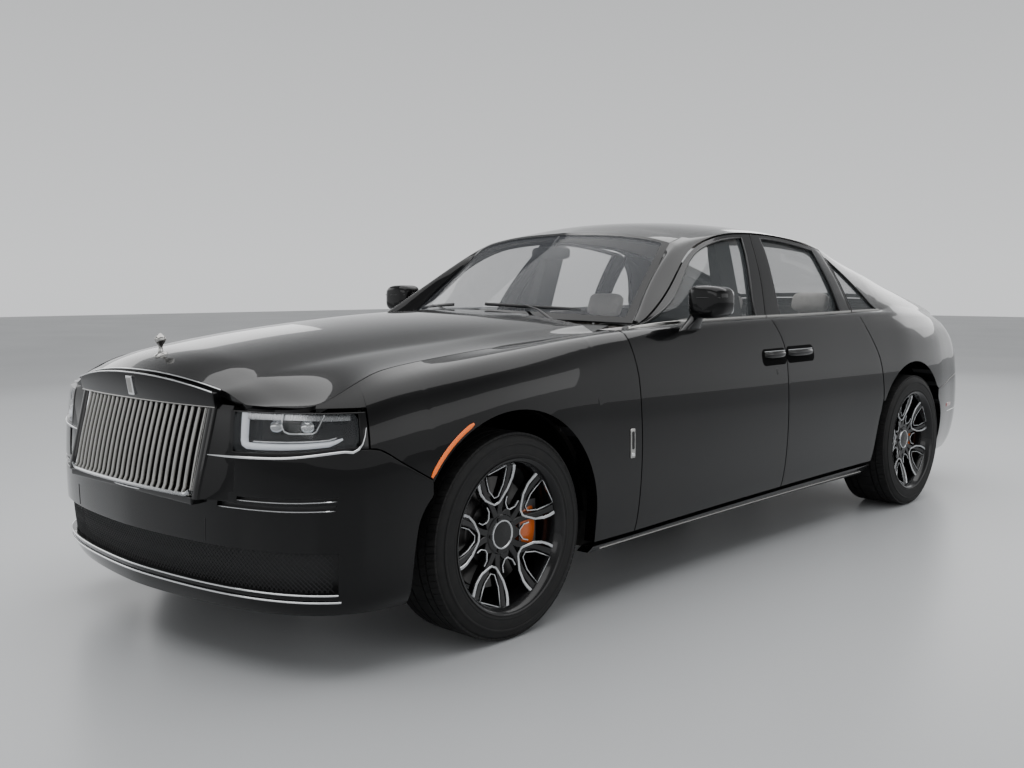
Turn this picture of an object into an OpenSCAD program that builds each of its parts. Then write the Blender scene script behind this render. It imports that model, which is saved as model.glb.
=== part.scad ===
// Large four-door saloon with rear-hinged back doors.
// +Z is up, the car faces -Y, its left side is +X, and the origin lies on the ground
// under the middle of the body. All sizes are millimetres.

/* [Body] */
// Overall length of the body
body_length = 5546; // [4600:1:6500]
// Width of the body without its mirrors
body_width = 1978; // [1700:1:2300]
// Height of the roof over the ground
roof_height = 1571; // [1450:1:1800]
// Distance between the front and the rear axle
wheelbase = 3295; // [2800:1:3900]
// Distance from the front end to the front axle
front_overhang = 965; // [800:1:1150]

/* [Panels] */
// Gap between a moving panel and its neighbour
panel_gap = 6; // [5.5:0.5:9]
// Gap between two fixed panels
seam = 0.5; // [0.3:0.1:0.8]
// Gap between the wings or quarters and the bumpers
panel_seam = 4; // [2:0.5:5]
// Gap between a piece and the seat that carries it
seat_gap = 0.3; // [0.2:0.05:0.4]
// Thickness of a door below its window
door_thickness = 120; // [90:5:140]
// Depth of a window frame
frame_depth = 36; // [30:1:45]
// Amount by which a door's inner edges stand back from its outer ones
edge_taper = 14; // [10:1:20]
// Thickness of a wing
wing_thickness = 50; // [35:1:70]
// Thickness of a rear quarter
quarter_thickness = 110; // [80:5:130]
// Thickness of a bumper
bumper_thickness = 60; // [40:1:80]
// Thickness of the roof, bonnet and boot lid
lid_thickness = 30; // [20:1:40]
// Thickness of the window glass
glass_thickness = 6; // [4:0.5:9]
// Depth at which the glass lies in its frame
glass_depth = 14; // [8:1:20]

/* [Wheels] */
// Diameter of a tyre
tyre_diameter = 737; // [650:1:800]
// Width of a front tyre
front_tyre_width = 255; // [205:5:285]
// Width of a rear tyre
rear_tyre_width = 285; // [225:5:315]
// Diameter of the wheel under the tyre
rim_diameter = 534; // [450:1:600]
// Distance between the middles of the front tyres
front_track = 1664; // [1500:2:1750]
// Distance between the middles of the rear tyres
rear_track = 1686; // [1500:2:1750]
// Clearance between a tyre and its arch
arch_clearance = 80; // [60:1:110]
// Distance of the steering axis inboard of the front wheel's middle
kingpin_offset = 60; // [58:1:75]
// Radius of a wheel spindle
spindle_r = 30; // [20:1:38]
// Radius of a kingpin
kingpin_r = 14; // [10:1:18]
// Radius of a brake disc
disc_r = 200; // [150:1:210]
// Number of spokes in a wheel
spokes = 5; // [4:1:8]

/* [Structure] */
// Height of the floor's underside
floor_z = 185; // [150:1:220]
// Thickness of the floor
floor_t = 28; // [15:1:40]
// Distance of the sill's outer face from the middle
sill_x = 800; // [760:1:806]
// Width of a jacking pad
pad_w = 60; // [40:1:80]
// Length of a jacking pad
pad_l = 90; // [60:1:120]
// Width of a number plate
plate_w = 520; // [300:1:540]
// Height of a number plate
plate_h = 112; // [100:1:160]
// Distance between the screws of a number plate
plate_screws = 300; // [200:1:320]
// Radius of a number plate screw hole
plate_hole_r = 3; // [2:0.25:4]
// Radius of the towing eye's threaded hole
tow_r = 9; // [7:0.5:12]
// Depth of the towing eye's hole
tow_depth = 40; // [30:1:60]
// Diameter of the steering wheel
steering_d = 385; // [340:1:400]

/* [Hidden] */

round_fn = 64;
paint = [0.03, 0.03, 0.035];
trim = [0.09, 0.09, 0.1];
glass_tint = [0.35, 0.38, 0.4, 0.5];
metal = [0.62, 0.63, 0.65];
leather = [0.78, 0.77, 0.74];
rubber = [0.07, 0.07, 0.07];

// The outlines below are drawn for this length, width and height, and follow the sizes above.
drawn_length = 5546;
drawn_width = 1978;
drawn_height = 1571;
drawn_front_axle = -1808;
drawn_rear_axle = 1487;
wide = body_width / drawn_width;
tall = roof_height / drawn_height;
front_axle = front_overhang - body_length / 2;
rear_axle = front_axle + wheelbase;
tyre_r = tyre_diameter / 2;
arch_r = tyre_r + arch_clearance;

function unit(v) = v / norm(v);
function mix(a, b, t) = a + (b - a) * t;
function flip(p) = [-p[0], p[1], p[2]];

// place along the car of a point that is drawn at y
function along(y) =
  y < drawn_front_axle
  ? mix(-body_length / 2, front_axle, (y + drawn_length / 2) / (drawn_front_axle + drawn_length / 2))
  : y < drawn_rear_axle
  ? mix(front_axle, rear_axle, (y - drawn_front_axle) / (drawn_rear_axle - drawn_front_axle))
  : mix(rear_axle, body_length / 2, (y - drawn_rear_axle) / (drawn_length / 2 - drawn_rear_axle));

// smooth curve through [key, value] knots, where a value is a number or a point
function span(k, x, i = 0) = i < len(k) - 2 && x > k[i + 1][0] ? span(k, x, i + 1) : i;
function slope(k, i) =
  let (a = max(i - 1, 0), b = min(i + 1, len(k) - 1))
  (k[b][1] - k[a][1]) / (k[b][0] - k[a][0]);
function curve(k, x) =
  let (i = span(k, x), h = k[i + 1][0] - k[i][0], t = min(1, max(0, (x - k[i][0]) / h)))
  k[i][1] * (2 * t ^ 3 - 3 * t ^ 2 + 1) + slope(k, i) * h * (t ^ 3 - 2 * t ^ 2 + t)
  + k[i + 1][1] * (3 * t ^ 2 - 2 * t ^ 3) + slope(k, i + 1) * h * (t ^ 3 - t ^ 2);
function bez(p, t) =
  p[0] * (1 - t) ^ 3 + p[1] * 3 * (1 - t) ^ 2 * t + p[2] * 3 * (1 - t) * t ^ 2 + p[3] * t ^ 3;
function bez_dir(p, t) =
  (p[1] - p[0]) * (1 - t) ^ 2 + (p[2] - p[1]) * 2 * (1 - t) * t + (p[3] - p[2]) * t ^ 2;

// A place s on the flank is a y between the two ends of the straight side, and past them it
// runs on round the nose or the tail for end_run to the middle of the car.
side_end = 2250;
end_run = 1200;
tip = side_end + end_run;
nose_s = along(-side_end);
tail_s = along(side_end);
function place(s) =
  s < -side_end ? nose_s + s + side_end : s > side_end ? tail_s + s - side_end : along(s);
nose_mid = place(-tip);
tail_mid = place(tip);

flank_x = [for (k = [[-2560, 935], [-2250, 952], [-1808, 985], [-1250, 977], [-700, 967],
  [0, 963], [700, 968], [1200, 981], [1487, 989], [1900, 966], [2250, 905], [2560, 860]])
  [along(k[0]), k[1] * wide]];
nose_plan = [for (p = [[952, -2250], [945, -2625], [640, -2718], [0, -2745]])
  [p[0] * wide, along(p[1])]];
tail_plan = [for (p = [[905, 2250], [860, 2560], [620, 2757], [0, 2762]])
  [p[0] * wide, along(p[1])]];

function plan(s) =
  s < nose_s
  ? let (t = min(1, (nose_s - s) / end_run), d = -unit(bez_dir(nose_plan, t)))
    [bez(nose_plan, t), [d[1], -d[0]]]
  : s > tail_s
  ? let (t = min(1, (s - tail_s) / end_run), d = unit(bez_dir(tail_plan, t)))
    [bez(tail_plan, t), [d[1], -d[0]]]
  : let (d = unit([curve(flank_x, s + 1) - curve(flank_x, s - 1), 2]))
    [[curve(flank_x, s), s], [d[1], -d[0]]];

// height and inset of the eight rails that the flank is drawn on, from sill to shoulder
rail_z = [
  [[-3450, 205], [-2250, 215], [0, 225], [2250, 235], [3450, 240]],
  [[-3450, 262], [-2250, 262], [-1100, 268], [1100, 300], [2250, 300], [3450, 300]],
  [[-3450, 400], [-1808, 400], [1500, 420], [3450, 430]],
  [[-3450, 550], [-1808, 590], [1500, 600], [3450, 580]],
  [[-3450, 700], [-2850, 705], [-2550, 710], [-2250, 740], [-1808, 790], [-1100, 800],
   [1500, 800], [2550, 790], [3450, 765]],
  [[-3450, 790], [-2850, 785], [-2550, 800], [-2250, 855], [-1808, 925], [-1100, 950],
   [1500, 950], [2250, 925], [2550, 905], [3450, 885]],
  [[-3450, 850], [-2850, 845], [-2550, 865], [-2250, 930], [-1808, 1000], [-1100, 1062],
   [-550, 1063], [600, 1078], [1300, 1080], [1800, 1062], [2250, 1022], [2550, 990], [3450, 985]],
  [[-3450, 880], [-2850, 868], [-2700, 870], [-2550, 915], [-2400, 948], [-2250, 972],
   [-2100, 990], [-1808, 1015], [-1350, 1040], [-1090, 1055], [-700, 1085], [600, 1098],
   [1300, 1105], [1800, 1090], [2250, 1060], [2550, 1030], [3450, 1022]]
];
rail_inset = [
  [[-3450, 30], [-2250, 55], [-1100, 68], [1500, 68], [2550, 65], [3450, 75]],
  [[-3450, 10], [-2250, 25], [-1100, 32], [1500, 30], [3450, 35]],
  [[-3450, 0], [-1100, 9], [1500, 8], [3450, 5]],
  [[-3450, 0], [3450, 0]],
  [[-3450, 6], [-2850, 6], [-2250, 8], [-1808, 4], [-1100, 8], [1500, 6], [2250, 10],
   [2850, 20], [3450, 48]],
  [[-3450, 14], [-2850, 13], [-2550, 22], [-2250, 32], [-1808, 30], [-1100, 28], [1500, 32],
   [2250, 38], [2850, 60], [3450, 95]],
  [[-3450, 24], [-2850, 22], [-2550, 50], [-2250, 80], [-1808, 95], [-1100, 76], [0, 68],
   [1300, 76], [1800, 92], [2250, 95], [2850, 110], [3450, 140]],
  [[-3450, 34], [-2850, 32], [-2700, 45], [-2550, 95], [-2400, 135], [-2250, 166],
   [-1808, 200], [-1350, 185], [-1090, 188], [-700, 120], [0, 115], [1300, 130], [1800, 150],
   [2250, 160], [2850, 190], [3450, 220]]
];
heights = [for (r = rail_z) [for (k = r) [place(k[0]), k[1] * tall]]];
insets = [for (r = rail_inset) [for (k = r) [place(k[0]), k[1] * wide]]];
shoulder = 7;

// crease between the side and the top of the car: place along the flank, then the point
crease_knots = [[-930, 792, -930, 1080], [-640, 692, -640, 1290], [-400, 652, -400, 1417],
  [-150, 648, -150, 1472], [150, 640, 150, 1502], [480, 640, 480, 1498], [850, 648, 850, 1462],
  [1150, 646, 1150, 1388], [1450, 645, 1450, 1315], [1750, 645, 1750, 1240],
  [2050, 652, 2050, 1172], [2250, 670, 2225, 1124], [2400, 690, 2318, 1085],
  [2550, 684, 2371, 1036], [2690, 630, 2411, 1032], [2830, 567, 2446, 1028]];
crease = [for (k = crease_knots) [place(k[0]), [k[1] * wide, along(k[2]), k[3] * tall]]];
crease_by_y = [for (k = crease) [k[1][1], k[1]]];
top_level = 8;
// height of the car's middle from the windscreen's top to the tail
middle_z = [for (k = [[-430, 1500], [-100, 1555], [300, 1571], [700, 1552], [1000, 1515],
  [1300, 1450], [1650, 1340], [1950, 1225], [2130, 1165], [2350, 1105], [2553, 1025]])
  [along(k[0]), k[1] * tall]];
// inner edge of the pillars: place along the flank, then across and along
ditch_knots = [for (k = [[-930, 715, -812], [-640, 652, -578], [-400, 607, -390],
  [-150, 580, -150], [150, 570, 150], [500, 570, 500], [850, 570, 850], [1060, 552, 1060],
  [1450, 530, 1450], [1750, 525, 1750], [2050, 540, 2050], [2250, 568, 2225],
  [2400, 592, 2318], [2550, 606, 2371], [2690, 596, 2411], [2830, 553, 2440]])
  [place(k[0]), [k[1] * wide, along(k[2])]]];
pillar_z = [for (k = [[-930, 1084], [-640, 1277], [-400, 1437]]) [place(k[0]), k[1] * tall]];
glass_bulge = 14;

function top_z(x, y) =
  let (a = curve(crease_by_y, y), c = curve(middle_z, y))
  a[2] + (c - a[2]) * (1 - min(1, abs(x) / a[0]) ^ 2.2);
function ditch(s) =
  let (p = curve(ditch_knots, s))
  [p[0], p[1], s <= pillar_z[2][0] ? curve(pillar_z, s) : top_z(p[0], p[1])];

function rail(j, s) =
  let (p = plan(s), d = curve(insets[j], s))
  [p[0][0] - p[1][0] * d, p[0][1] - p[1][1] * d, curve(heights[j], s)];
function column(s) = [for (j = [0:shoulder]) [j, rail(j, s)]];
// point on the side: level 0 is the sill, 7 the shoulder and 8 the crease over the windows
function side_point(k, s, v) =
  v <= shoulder
  ? curve(k, v)
  : let (h = v - shoulder)
    mix(k[shoulder][1], curve(crease, s), h) + glass_bulge * sin(180 * h) * [0.9, 0, 0.4];
function level(k, s, z, low = 0, high = shoulder, n = 13) =
  let (m = (low + high) / 2)
  n == 0 ? m : side_point(k, s, m)[2] < z
  ? level(k, s, z, m, high, n - 1) : level(k, s, z, low, m, n - 1);
function on_side(s, z, high = shoulder) =
  let (k = column(s)) side_point(k, s, level(k, s, z, 0, high));
function push(p, s, t) = let (n = plan(s)[1]) [p[0] - n[0] * t, p[1] - n[1] * t, p[2]];

// ---------- closed solids from two grids of points ----------

// solid between an outer grid p and an inner grid q, of the cells that keep() accepts
module slab(p, q, keep = function (i, j) true) {
  m = len(p);
  n = len(p[0]);
  at = function (i, j) i * n + j;
  in = function (i, j) m * n + i * n + j;
  has = function (i, j) i >= 0 && j >= 0 && i < m - 1 && j < n - 1 && keep(i, j);
  faces = [for (i = [0:m - 2], j = [0:n - 2]) if (has(i, j)) each concat(
    [[at(i, j), at(i + 1, j + 1), at(i + 1, j)], [at(i, j), at(i, j + 1), at(i + 1, j + 1)],
     [in(i, j), in(i + 1, j), in(i + 1, j + 1)], [in(i, j), in(i + 1, j + 1), in(i, j + 1)]],
    has(i, j - 1) ? [] : [[at(i, j), at(i + 1, j), in(i + 1, j)], [at(i, j), in(i + 1, j), in(i, j)]],
    has(i, j + 1) ? [] : [[at(i, j + 1), in(i, j + 1), in(i + 1, j + 1)],
                          [at(i, j + 1), in(i + 1, j + 1), at(i + 1, j + 1)]],
    has(i - 1, j) ? [] : [[at(i, j), in(i, j), in(i, j + 1)], [at(i, j), in(i, j + 1), at(i, j + 1)]],
    has(i + 1, j) ? [] : [[at(i + 1, j), at(i + 1, j + 1), in(i + 1, j + 1)],
                          [at(i + 1, j), in(i + 1, j + 1), in(i + 1, j)]])];
  flat = concat([for (r = p) each r], [for (r = q) each r]);
  polyhedron(points = flat, faces = faces);
}

// grid whose border is drawn in by d
function drawn_in(g, d) =
  let (m = len(g), n = len(g[0]))
  [for (i = [0:m - 1]) [for (j = [0:n - 1])
    let (a = i == 0 ? 1 : i == m - 1 ? -1 : 0, b = j == 0 ? 1 : j == n - 1 ? -1 : 0,
      p = g[i][j],
      du = a == 0 ? [0, 0, 0] : unit(g[i + a][j] - p) * d,
      dv = b == 0 ? [0, 0, 0] : unit(g[i][j + b] - p) * d)
    p + du + dv]];
function lowered(g, t) = [for (r = g) [for (p = r) [p[0], p[1], p[2] - t]]];
function both_sides(g) =
  concat([for (i = [len(g) - 1:-1:0]) [for (p = g[i]) flip(p)]], [for (i = [1:len(g) - 1]) g[i]]);

// patch between four edges, given as lists of points
function coons(low, high, first, last) =
  let (m = len(low) - 1, n = len(first) - 1)
  [for (i = [0:m]) [for (j = [0:n])
    let (u = i / m, v = j / n)
    mix(low[i], high[i], v) + mix(first[j], last[j], u)
    - mix(mix(low[0], low[m], u), mix(high[0], high[m], u), v)]];

// box between two rectangles [x0, x1, y0, y1, z]
module taper_box(a, b) {
  c = function (r) [[r[0], r[2], r[4]], [r[1], r[2], r[4]], [r[1], r[3], r[4]], [r[0], r[3], r[4]]];
  polyhedron(points = concat(c(a), c(b)), faces = [[0, 1, 2], [0, 2, 3], [4, 6, 5], [4, 7, 6],
    [0, 4, 5], [0, 5, 1], [1, 5, 6], [1, 6, 2], [2, 6, 7], [2, 7, 3], [3, 7, 4], [3, 4, 0]]);
}
module box(x, y, z) {
  translate([x[0], y[0], z[0]]) cube([x[1] - x[0], y[1] - y[0], z[1] - z[0]]);
}
module pair() {
  children();
  mirror([1, 0, 0]) children();
}
module sided(right) {
  if (right) mirror([1, 0, 0]) children();
  else children();
}
// cylinder along X from x0 to x1, at a place given by y and z
module rod_x(x0, x1, r, y, z) {
  translate([x0, y, z]) rotate([0, 90, 0]) cylinder(h = x1 - x0, r = r, $fn = round_fn);
}

// ---------- outlines of the doors and windows, drawn as height against place ----------

function drawn_y(knots) = [for (k = knots) [k[0] * tall, along(k[1])]];
function drawn_z(knots) = [for (k = knots) [place(k[0]), k[1] * tall]];
glass_top = drawn_z([[-900, 1075], [-860, 1087], [-620, 1185], [-330, 1375], [-100, 1448], [150, 1474],
  [480, 1470], [850, 1424], [930, 1402], [1060, 1310], [1160, 1205], [1237, 1108], [1330, 1108]]);
door_top = drawn_z([[-960, 1072], [-900, 1081], [-800, 1125], [-620, 1220], [-330, 1396], [-100, 1466],
  [150, 1492], [480, 1488], [850, 1446], [930, 1426], [1060, 1350], [1160, 1265], [1237, 1190],
  [1330, 1150]]);
door_foot = drawn_z([[-1100, 268], [1110, 300]]);
front_cut = drawn_y([[200, -1085], [850, -1085], [1062, -1114]]);
pillar_tip = drawn_y([[200, -960], [1500, -960]]);
front_glass_a = drawn_y([[200, -900], [1500, -900]]);
front_glass_b = drawn_y([[200, -42], [1100, -20], [1460, 146]]);
middle_cut = drawn_y([[200, 88], [860, 97], [940, 97], [1010, 78], [1070, 52], [1100, 62], [1500, 240]]);
rear_glass_a = drawn_y([[200, 190], [1100, 205], [1460, 320]]);
rear_glass_b = drawn_y([[200, 830], [1500, 830]]);
rear_cut = drawn_y([[280, 1028], [370, 1030], [480, 1046], [560, 1070], [620, 1098], [740, 1092],
  [860, 1062], [950, 1012], [1036, 958], [1100, 934], [1500, 934]]);
function moved(knots, d) = [for (k = knots) [k[0], k[1] + d]];

low_levels = [2, 3, 4, 4.5, 5, 5.5, 6, shoulder];
window_rows = 3;
function edge_y(edges, c, z) =
  let (k = min(floor(c), len(edges) - 2)) mix(curve(edges[k], z), curve(edges[k + 1], z), c - k);
// one point of a door: column c between its edges, row r from its foot to its top
function door_point(edges, c, r, foot, top, t) =
  let (lows = len(low_levels) + 1, up = r - lows + 1, f = up / window_rows,
    guess = edge_y(edges, c, 900 * tall),
    z0 = r == 0 ? foot : r < lows ? curve(column(guess), low_levels[r - 1])[2]
      : mix(1090, 1480, min(1, f)) * tall,
    y = edge_y(edges, c, z0), k = column(y), belt = k[shoulder][1][2],
    v = r == 0 ? level(k, y, curve(door_foot, y) + foot_lift(foot)) : r < lows ? low_levels[r - 1]
      : up <= window_rows
      ? level(k, y, max(mix(belt, curve(glass_top, y), f), belt + 3 * up), 6.9, top_level)
      : level(k, y, max(curve(door_top, y) - top, belt + 3 * window_rows + 3), 6.9, top_level))
  push(side_point(k, y, v), y,
    r < lows - 1 ? t[0] : r < lows ? t[1] : up <= window_rows ? t[2] : t[2] * 0.35);
function foot_lift(foot) = foot - 284 * tall;
door_low_rows = len(low_levels);
function door_grid(edges, cols, inner) =
  let (e = inner ? edge_taper : 0, n = len(edges),
    shut = [for (i = [0:n - 1]) moved(edges[i], i == 0 ? panel_gap / 2 + e
      : i == n - 1 ? -panel_gap / 2 - e : 0)],
    t = inner ? [door_thickness, door_thickness / 2, frame_depth] : [0, 0, 0])
  [for (c = cols) [for (r = [0:door_low_rows + window_rows + 1])
    door_point(shut, c, r, 284 * tall + e, inner ? 8 : 0, t)]];

front_edges = [front_cut, pillar_tip, front_glass_a, front_glass_b, middle_cut];
front_cols = [0, 0.5, 1, 2, 2.15, 2.33, 2.5, 2.67, 2.84, 3, 4];
rear_edges = [middle_cut, rear_glass_a, rear_glass_b, rear_cut];
rear_cols = [0, 1, 1.2, 1.4, 1.6, 1.8, 2, 3];
front_out = door_grid(front_edges, front_cols, false);
front_in = door_grid(front_edges, front_cols, true);
rear_out = door_grid(rear_edges, rear_cols, false);
rear_in = door_grid(rear_edges, rear_cols, true);
glass_row = door_low_rows + window_rows;

module window_pane(p, q, first, last, low, high) {
  at = glass_depth / frame_depth;
  depth = (glass_depth + glass_thickness) / frame_depth;
  pane = function (f) drawn_in([for (i = [first:last]) [for (j = [low:high])
    mix(p[i][j], q[i][j], f)]], seam);
  slab(pane(at), pane(depth));
}

// hinge leaves stand in the shut line, on the door and on the post that it lies against
hinge_x = [858, 898];
hinge_z = [[400, 480], [760, 840]];
front_hinge_y = along(-1090);
rear_hinge_y = along(1080);

module front_door() {
  color(paint) {
    slab(front_out, front_in, function (i, j)
      j < door_low_rows ? true : i < 2 ? false : i == 2 ? true : i > 8 ? true : j >= glass_row);
    for (z = hinge_z)
      box(hinge_x * wide, [front_hinge_y, front_hinge_y + 60], z * tall);
  }
}
module front_door_glass() {
  color(glass_tint) window_pane(front_out, front_in, 3, 9, door_low_rows, glass_row);
}
module rear_door() {
  color(paint) {
    slab(rear_out, rear_in, function (i, j)
      j < door_low_rows ? true : i == 0 || i > 5 ? true : j >= glass_row);
    box(hinge_x * wide, [rear_hinge_y - 50, rear_hinge_y], [770, 830] * tall);
  }
}
module rear_door_glass() {
  color(glass_tint) window_pane(rear_out, rear_in, 1, 6, door_low_rows, glass_row);
}
module door_mirror() {
  x0 = 885 * wide;
  z0 = 1085 * tall;
  y0 = along(-640);
  color(paint) {
    translate([x0, y0, z0 + 88]) hull() {
      translate([60, 2, 0]) scale([1, 0.9, 1.25]) sphere(r = 52, $fn = 24);
      translate([131.1, 16, 0]) scale([1, 0.9, 1.2]) sphere(r = 58, $fn = 24);
      translate([92, 66, 0]) cube([170, 10, 140], center = true);
    }
    hull() {
      translate([x0 + 30, y0 - 10, z0 + 20]) cube([50, 70, 20]);
      translate([x0 - 8, y0 - 20, z0 - 10.4]) cube([30, 90, 12]);
    }
  }
}

// ---------- fixed panels ----------

function arch_z(y, axle, r) = tyre_r + sqrt(max(0, r ^ 2 - (y - axle) ^ 2));
arch_angles = [180, 165, 150, 135, 120, 105, 90, 75, 60, 45, 30, 15, 0];
seam_angle = 33;
bumper_top_front = drawn_z([[-3450, 705], [-2850, 716], [-2430, 738], [-2300, 680], [-2183, 616]]);
bumper_top_rear = drawn_z([[1850, 630], [2100, 668], [2300, 690], [2560, 680], [2900, 640],
  [3450, 625]]);

// strip of the flank between a low and a high edge; a column is [place, low height, high level]
// or, along a shut line, [offset, low height, high level, shut line]
function strip(cols, n, t, cap = 0) =
  [for (c = cols) [for (j = [0:n])
    let (s0 = len(c) > 3 ? curve(c[3], 700 * tall) : c[0], k0 = column(s0),
      v0 = mix(level(k0, s0, c[1]), c[2], j / n),
      s = len(c) > 3 ? curve(c[3], curve(k0, v0)[2]) + c[0] : s0,
      k = column(s), p = curve(k, mix(level(k, s, c[1]), c[2], j / n)))
    j == n && cap > 0 ? push(p, s, 1) - [0, 0, cap]
    : push(p, s, min(t, 1 + 0.5 * norm(p - k[shoulder][1])))]];
module flank_panel(cols, n, t, cap = 0) {
  slab(strip(cols, n, 0), strip(cols, n, t, cap));
}

lamp_end = -2454;
lamp_start = -3040;
function front_wing_cols() = concat(
  [[place(-2690), 862 * tall + 2, shoulder]],
  [for (u = [0.25, 0.3]) [bonnet_s(u), 866 * tall, shoulder]],
  [[place(-2445), 868 * tall, shoulder], [place(-2425), bumper_line(place(-2425)), shoulder]],
  [for (u = [0.33, 0.36, 0.39, 0.42]) [bonnet_s(u), bumper_line(bonnet_s(u)), shoulder]],
  [for (a = arch_angles) if (a <= 180 - seam_angle)
    let (y = front_axle + arch_r * cos(a)) [y, arch_z(y, front_axle, arch_r), shoulder]],
  [for (y = [front_axle + arch_r + 12, along(-1220)]) [y, 268 * tall, shoulder]],
  [[-panel_gap / 2, 268 * tall, shoulder, front_cut]]);
function bumper_line(s) = curve(bumper_top_front, s) + panel_seam;

module wheel_lip(axle, x0, x1) {
  difference() {
    rod_x(x0, x1, arch_r + 22, axle, tyre_r);
    rod_x(x0 - 1, x1 + 1, arch_r + 2, axle, tyre_r);
    box([x0 - 2, x1 + 2], [axle - 2 * arch_r, axle + 2 * arch_r], [-200, tyre_r + arch_r * 0.55]);
  }
}
module front_wing() {
  color(paint) {
    flank_panel(front_wing_cols(), 7, wing_thickness, 26);
    box([sill_x + seat_gap, 940 * wide], [along(-1180), along(-1135)], [420, 860] * tall);
  }
}
rocker_depth = 55;
module rocker_panels() {
  cols = [for (i = [0:8]) let (y = mix(front_axle + arch_r + 14, rear_axle - arch_r - 14, i / 8))
    [y, 0, 0]];
  outer = function (t) [for (c = cols) let (k = column(c[0]), top = curve(door_foot, c[0]) - 20 * tall)
    [for (v = [0, level(k, c[0], top) / 2, level(k, c[0], top)]) push(curve(k, v), c[0], t)]];
  color(paint) pair() slab(outer(0), outer(rocker_depth));
  color(paint) pair() for (y = [-900, 0, 900])
    box([sill_x + seat_gap, 880 * wide], [along(y), along(y) + 80], [232, 250] * tall);
}

side_front = [-900, -760, -620, -480, -400, -250, -100, 50, 200, 350, 500, 650, 800];
quarter_low = [1150, 1220, 1300, 1390, 1487, 1600, 1720, 1868, 1945, 2100, 2250, 2400, 2550,
  2600, 2690, 2780, 2830];
quarter_up = [956, 1100, 1237, 1330, 1487, 1600, 1720, 1868, 1945, 2100, 2250, 2400, 2550,
  2600, 2690, 2780, 2830];
function quarter_s(i, z) =
  i < 0 ? curve(rear_cut, z) + panel_gap / 2 + 1
  : curve([[300 * tall, place(quarter_low[i])],
       [860 * tall, mix(place(quarter_low[i]), place(quarter_up[i]), 0.15)],
      [1036 * tall, mix(place(quarter_low[i]), place(quarter_up[i]), 0.9)],
       [1100 * tall, place(quarter_up[i])],
      [1500 * tall, place(quarter_up[i])]], z);
function quarter_foot(s) =
  s < place(1868) ? max(arch_z(s, rear_axle, arch_r), 622 * tall) : curve(bumper_top_rear, s) + panel_seam;
// heights of the rows between the foot and the shoulder; the lamp's edges are rows 2 and 4
lamp_z = [722, 925];
function quarter_z(s, r, foot) =
  let (even = mix(foot, 1010 * tall, r / 5),
    lamp = [foot, mix(foot, lamp_z[0] * tall, 0.5), lamp_z[0] * tall, 820 * tall, lamp_z[1] * tall,
      965 * tall][r],
    w = min(1, max(0, (s - place(1950)) / 400)))
  mix(even, lamp, w);
// row numbers of the side: 0 to 5 below the shoulder, 6 shoulder, 7 and 8 window, 9 door top,
// 10 crease, 11 inner edge of the pillar
function side_p(s, r, foot, t) =
  let (k = column(s), belt = k[shoulder][1][2])
  r < 6 ? push(curve(k, level(k, s, quarter_z(s, r, foot))), s, t)
  : r == 6
  ? let (q = min(1, max(0, (s - place(2250)) / 200)))
    push(k[shoulder][1], s, t / 2 * (1 - q)) - [0, 0, t > 0 ? q * curve(pillar_depth, s) : 0]
  : r < 10
  ? let (last = s > place(2540), top = curve(glass_top, s), over = curve(door_top, s),
      c = curve(crease, s),
      rise = last ? [0.25, 0.5, 0.75][r - 7] : 0,
      z = [mix(belt, top, 0.5), top, over + (s < place(945) ? panel_gap * 1.2 : 0)][r - 7],
      late = min(1, max(0, (s - place(1245)) / 250)),
      share = [0.3, 0.55, 0.8][r - 7])
    last ? mix(k[shoulder][1], c, rise) - [0, 0, t > 0 ? curve(pillar_depth, s) : 0]
    : push(side_point(k, s, mix(level(k, s, max(z, belt + 4 * (r - 6)), 6.9, top_level), 7 + share, late)),
        s, t == 0 ? 0 : r == 9 && s < place(945) ? 12 : t * mix(frame_depth / quarter_thickness, 1, late * 0.6))
  : r == 10 ? curve(crease, s) - [0, 0, t > 0 ? curve(roof_rail_depth, s) : 0]
  : ditch(s) - [0, 0, t > 0 ? curve(pillar_depth, s) : 0];

// depth of the roof rail under the crease, less where the doors close against it
roof_rail_depth = drawn_z([[-930, 6], [-860, 9], [-700, 28], [-400, 30], [-250, 14], [-150, 9],
  [900, 9], [960, 30],
  [1060, 42], [2550, 42], [2690, 34], [2830, 22]]);
pillar_depth = drawn_z([[-930, 12], [-860, 16], [-700, 42], [2550, 42], [2690, 34], [2830, 22]]);
side_n = len(side_front);
function side_grid(t) = concat(
  [for (y = side_front) [for (r = [0:11]) side_p(place(y), r, 700 * tall, t)]],
  [for (i = [-1:len(quarter_low) - 1]) [for (r = [0:11])
    let (z = r < 6 ? mix(622, 1010, r / 5) * tall : r == 6 ? 1090 * tall : 1300 * tall,
      s = quarter_s(i, z) + (t > 0 && i < 0 && r < 10 ? edge_taper : 0))
    side_p(s, r, quarter_foot(quarter_s(i, 622 * tall)), t)]]);
module body_side() {
  n = side_n;
  lamp_a = n + 13;
  lamp_b = n + 15;
  color(paint) {
    slab(side_grid(0), side_grid(quarter_thickness), function (i, j)
      i < n - 1 ? j >= 9
      : i == n - 1 ? j >= 9
      : i >= lamp_a && i <= lamp_b && j >= 2 && j < 4 ? false
      : i == n + 1 || i == n + 2 ? j < 6 || j >= 8 : true);
    box([712, 728] * wide, [along(-795), along(-765)], [1046, 1102] * tall);
    box(hinge_x * wide, [rear_hinge_y + seat_gap, rear_hinge_y + 48], [770, 830] * tall);
    wheel_lip(rear_axle, 800 * wide, 885 * wide);
  }
}

// ---------- glass and roof over the cabin ----------

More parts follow.
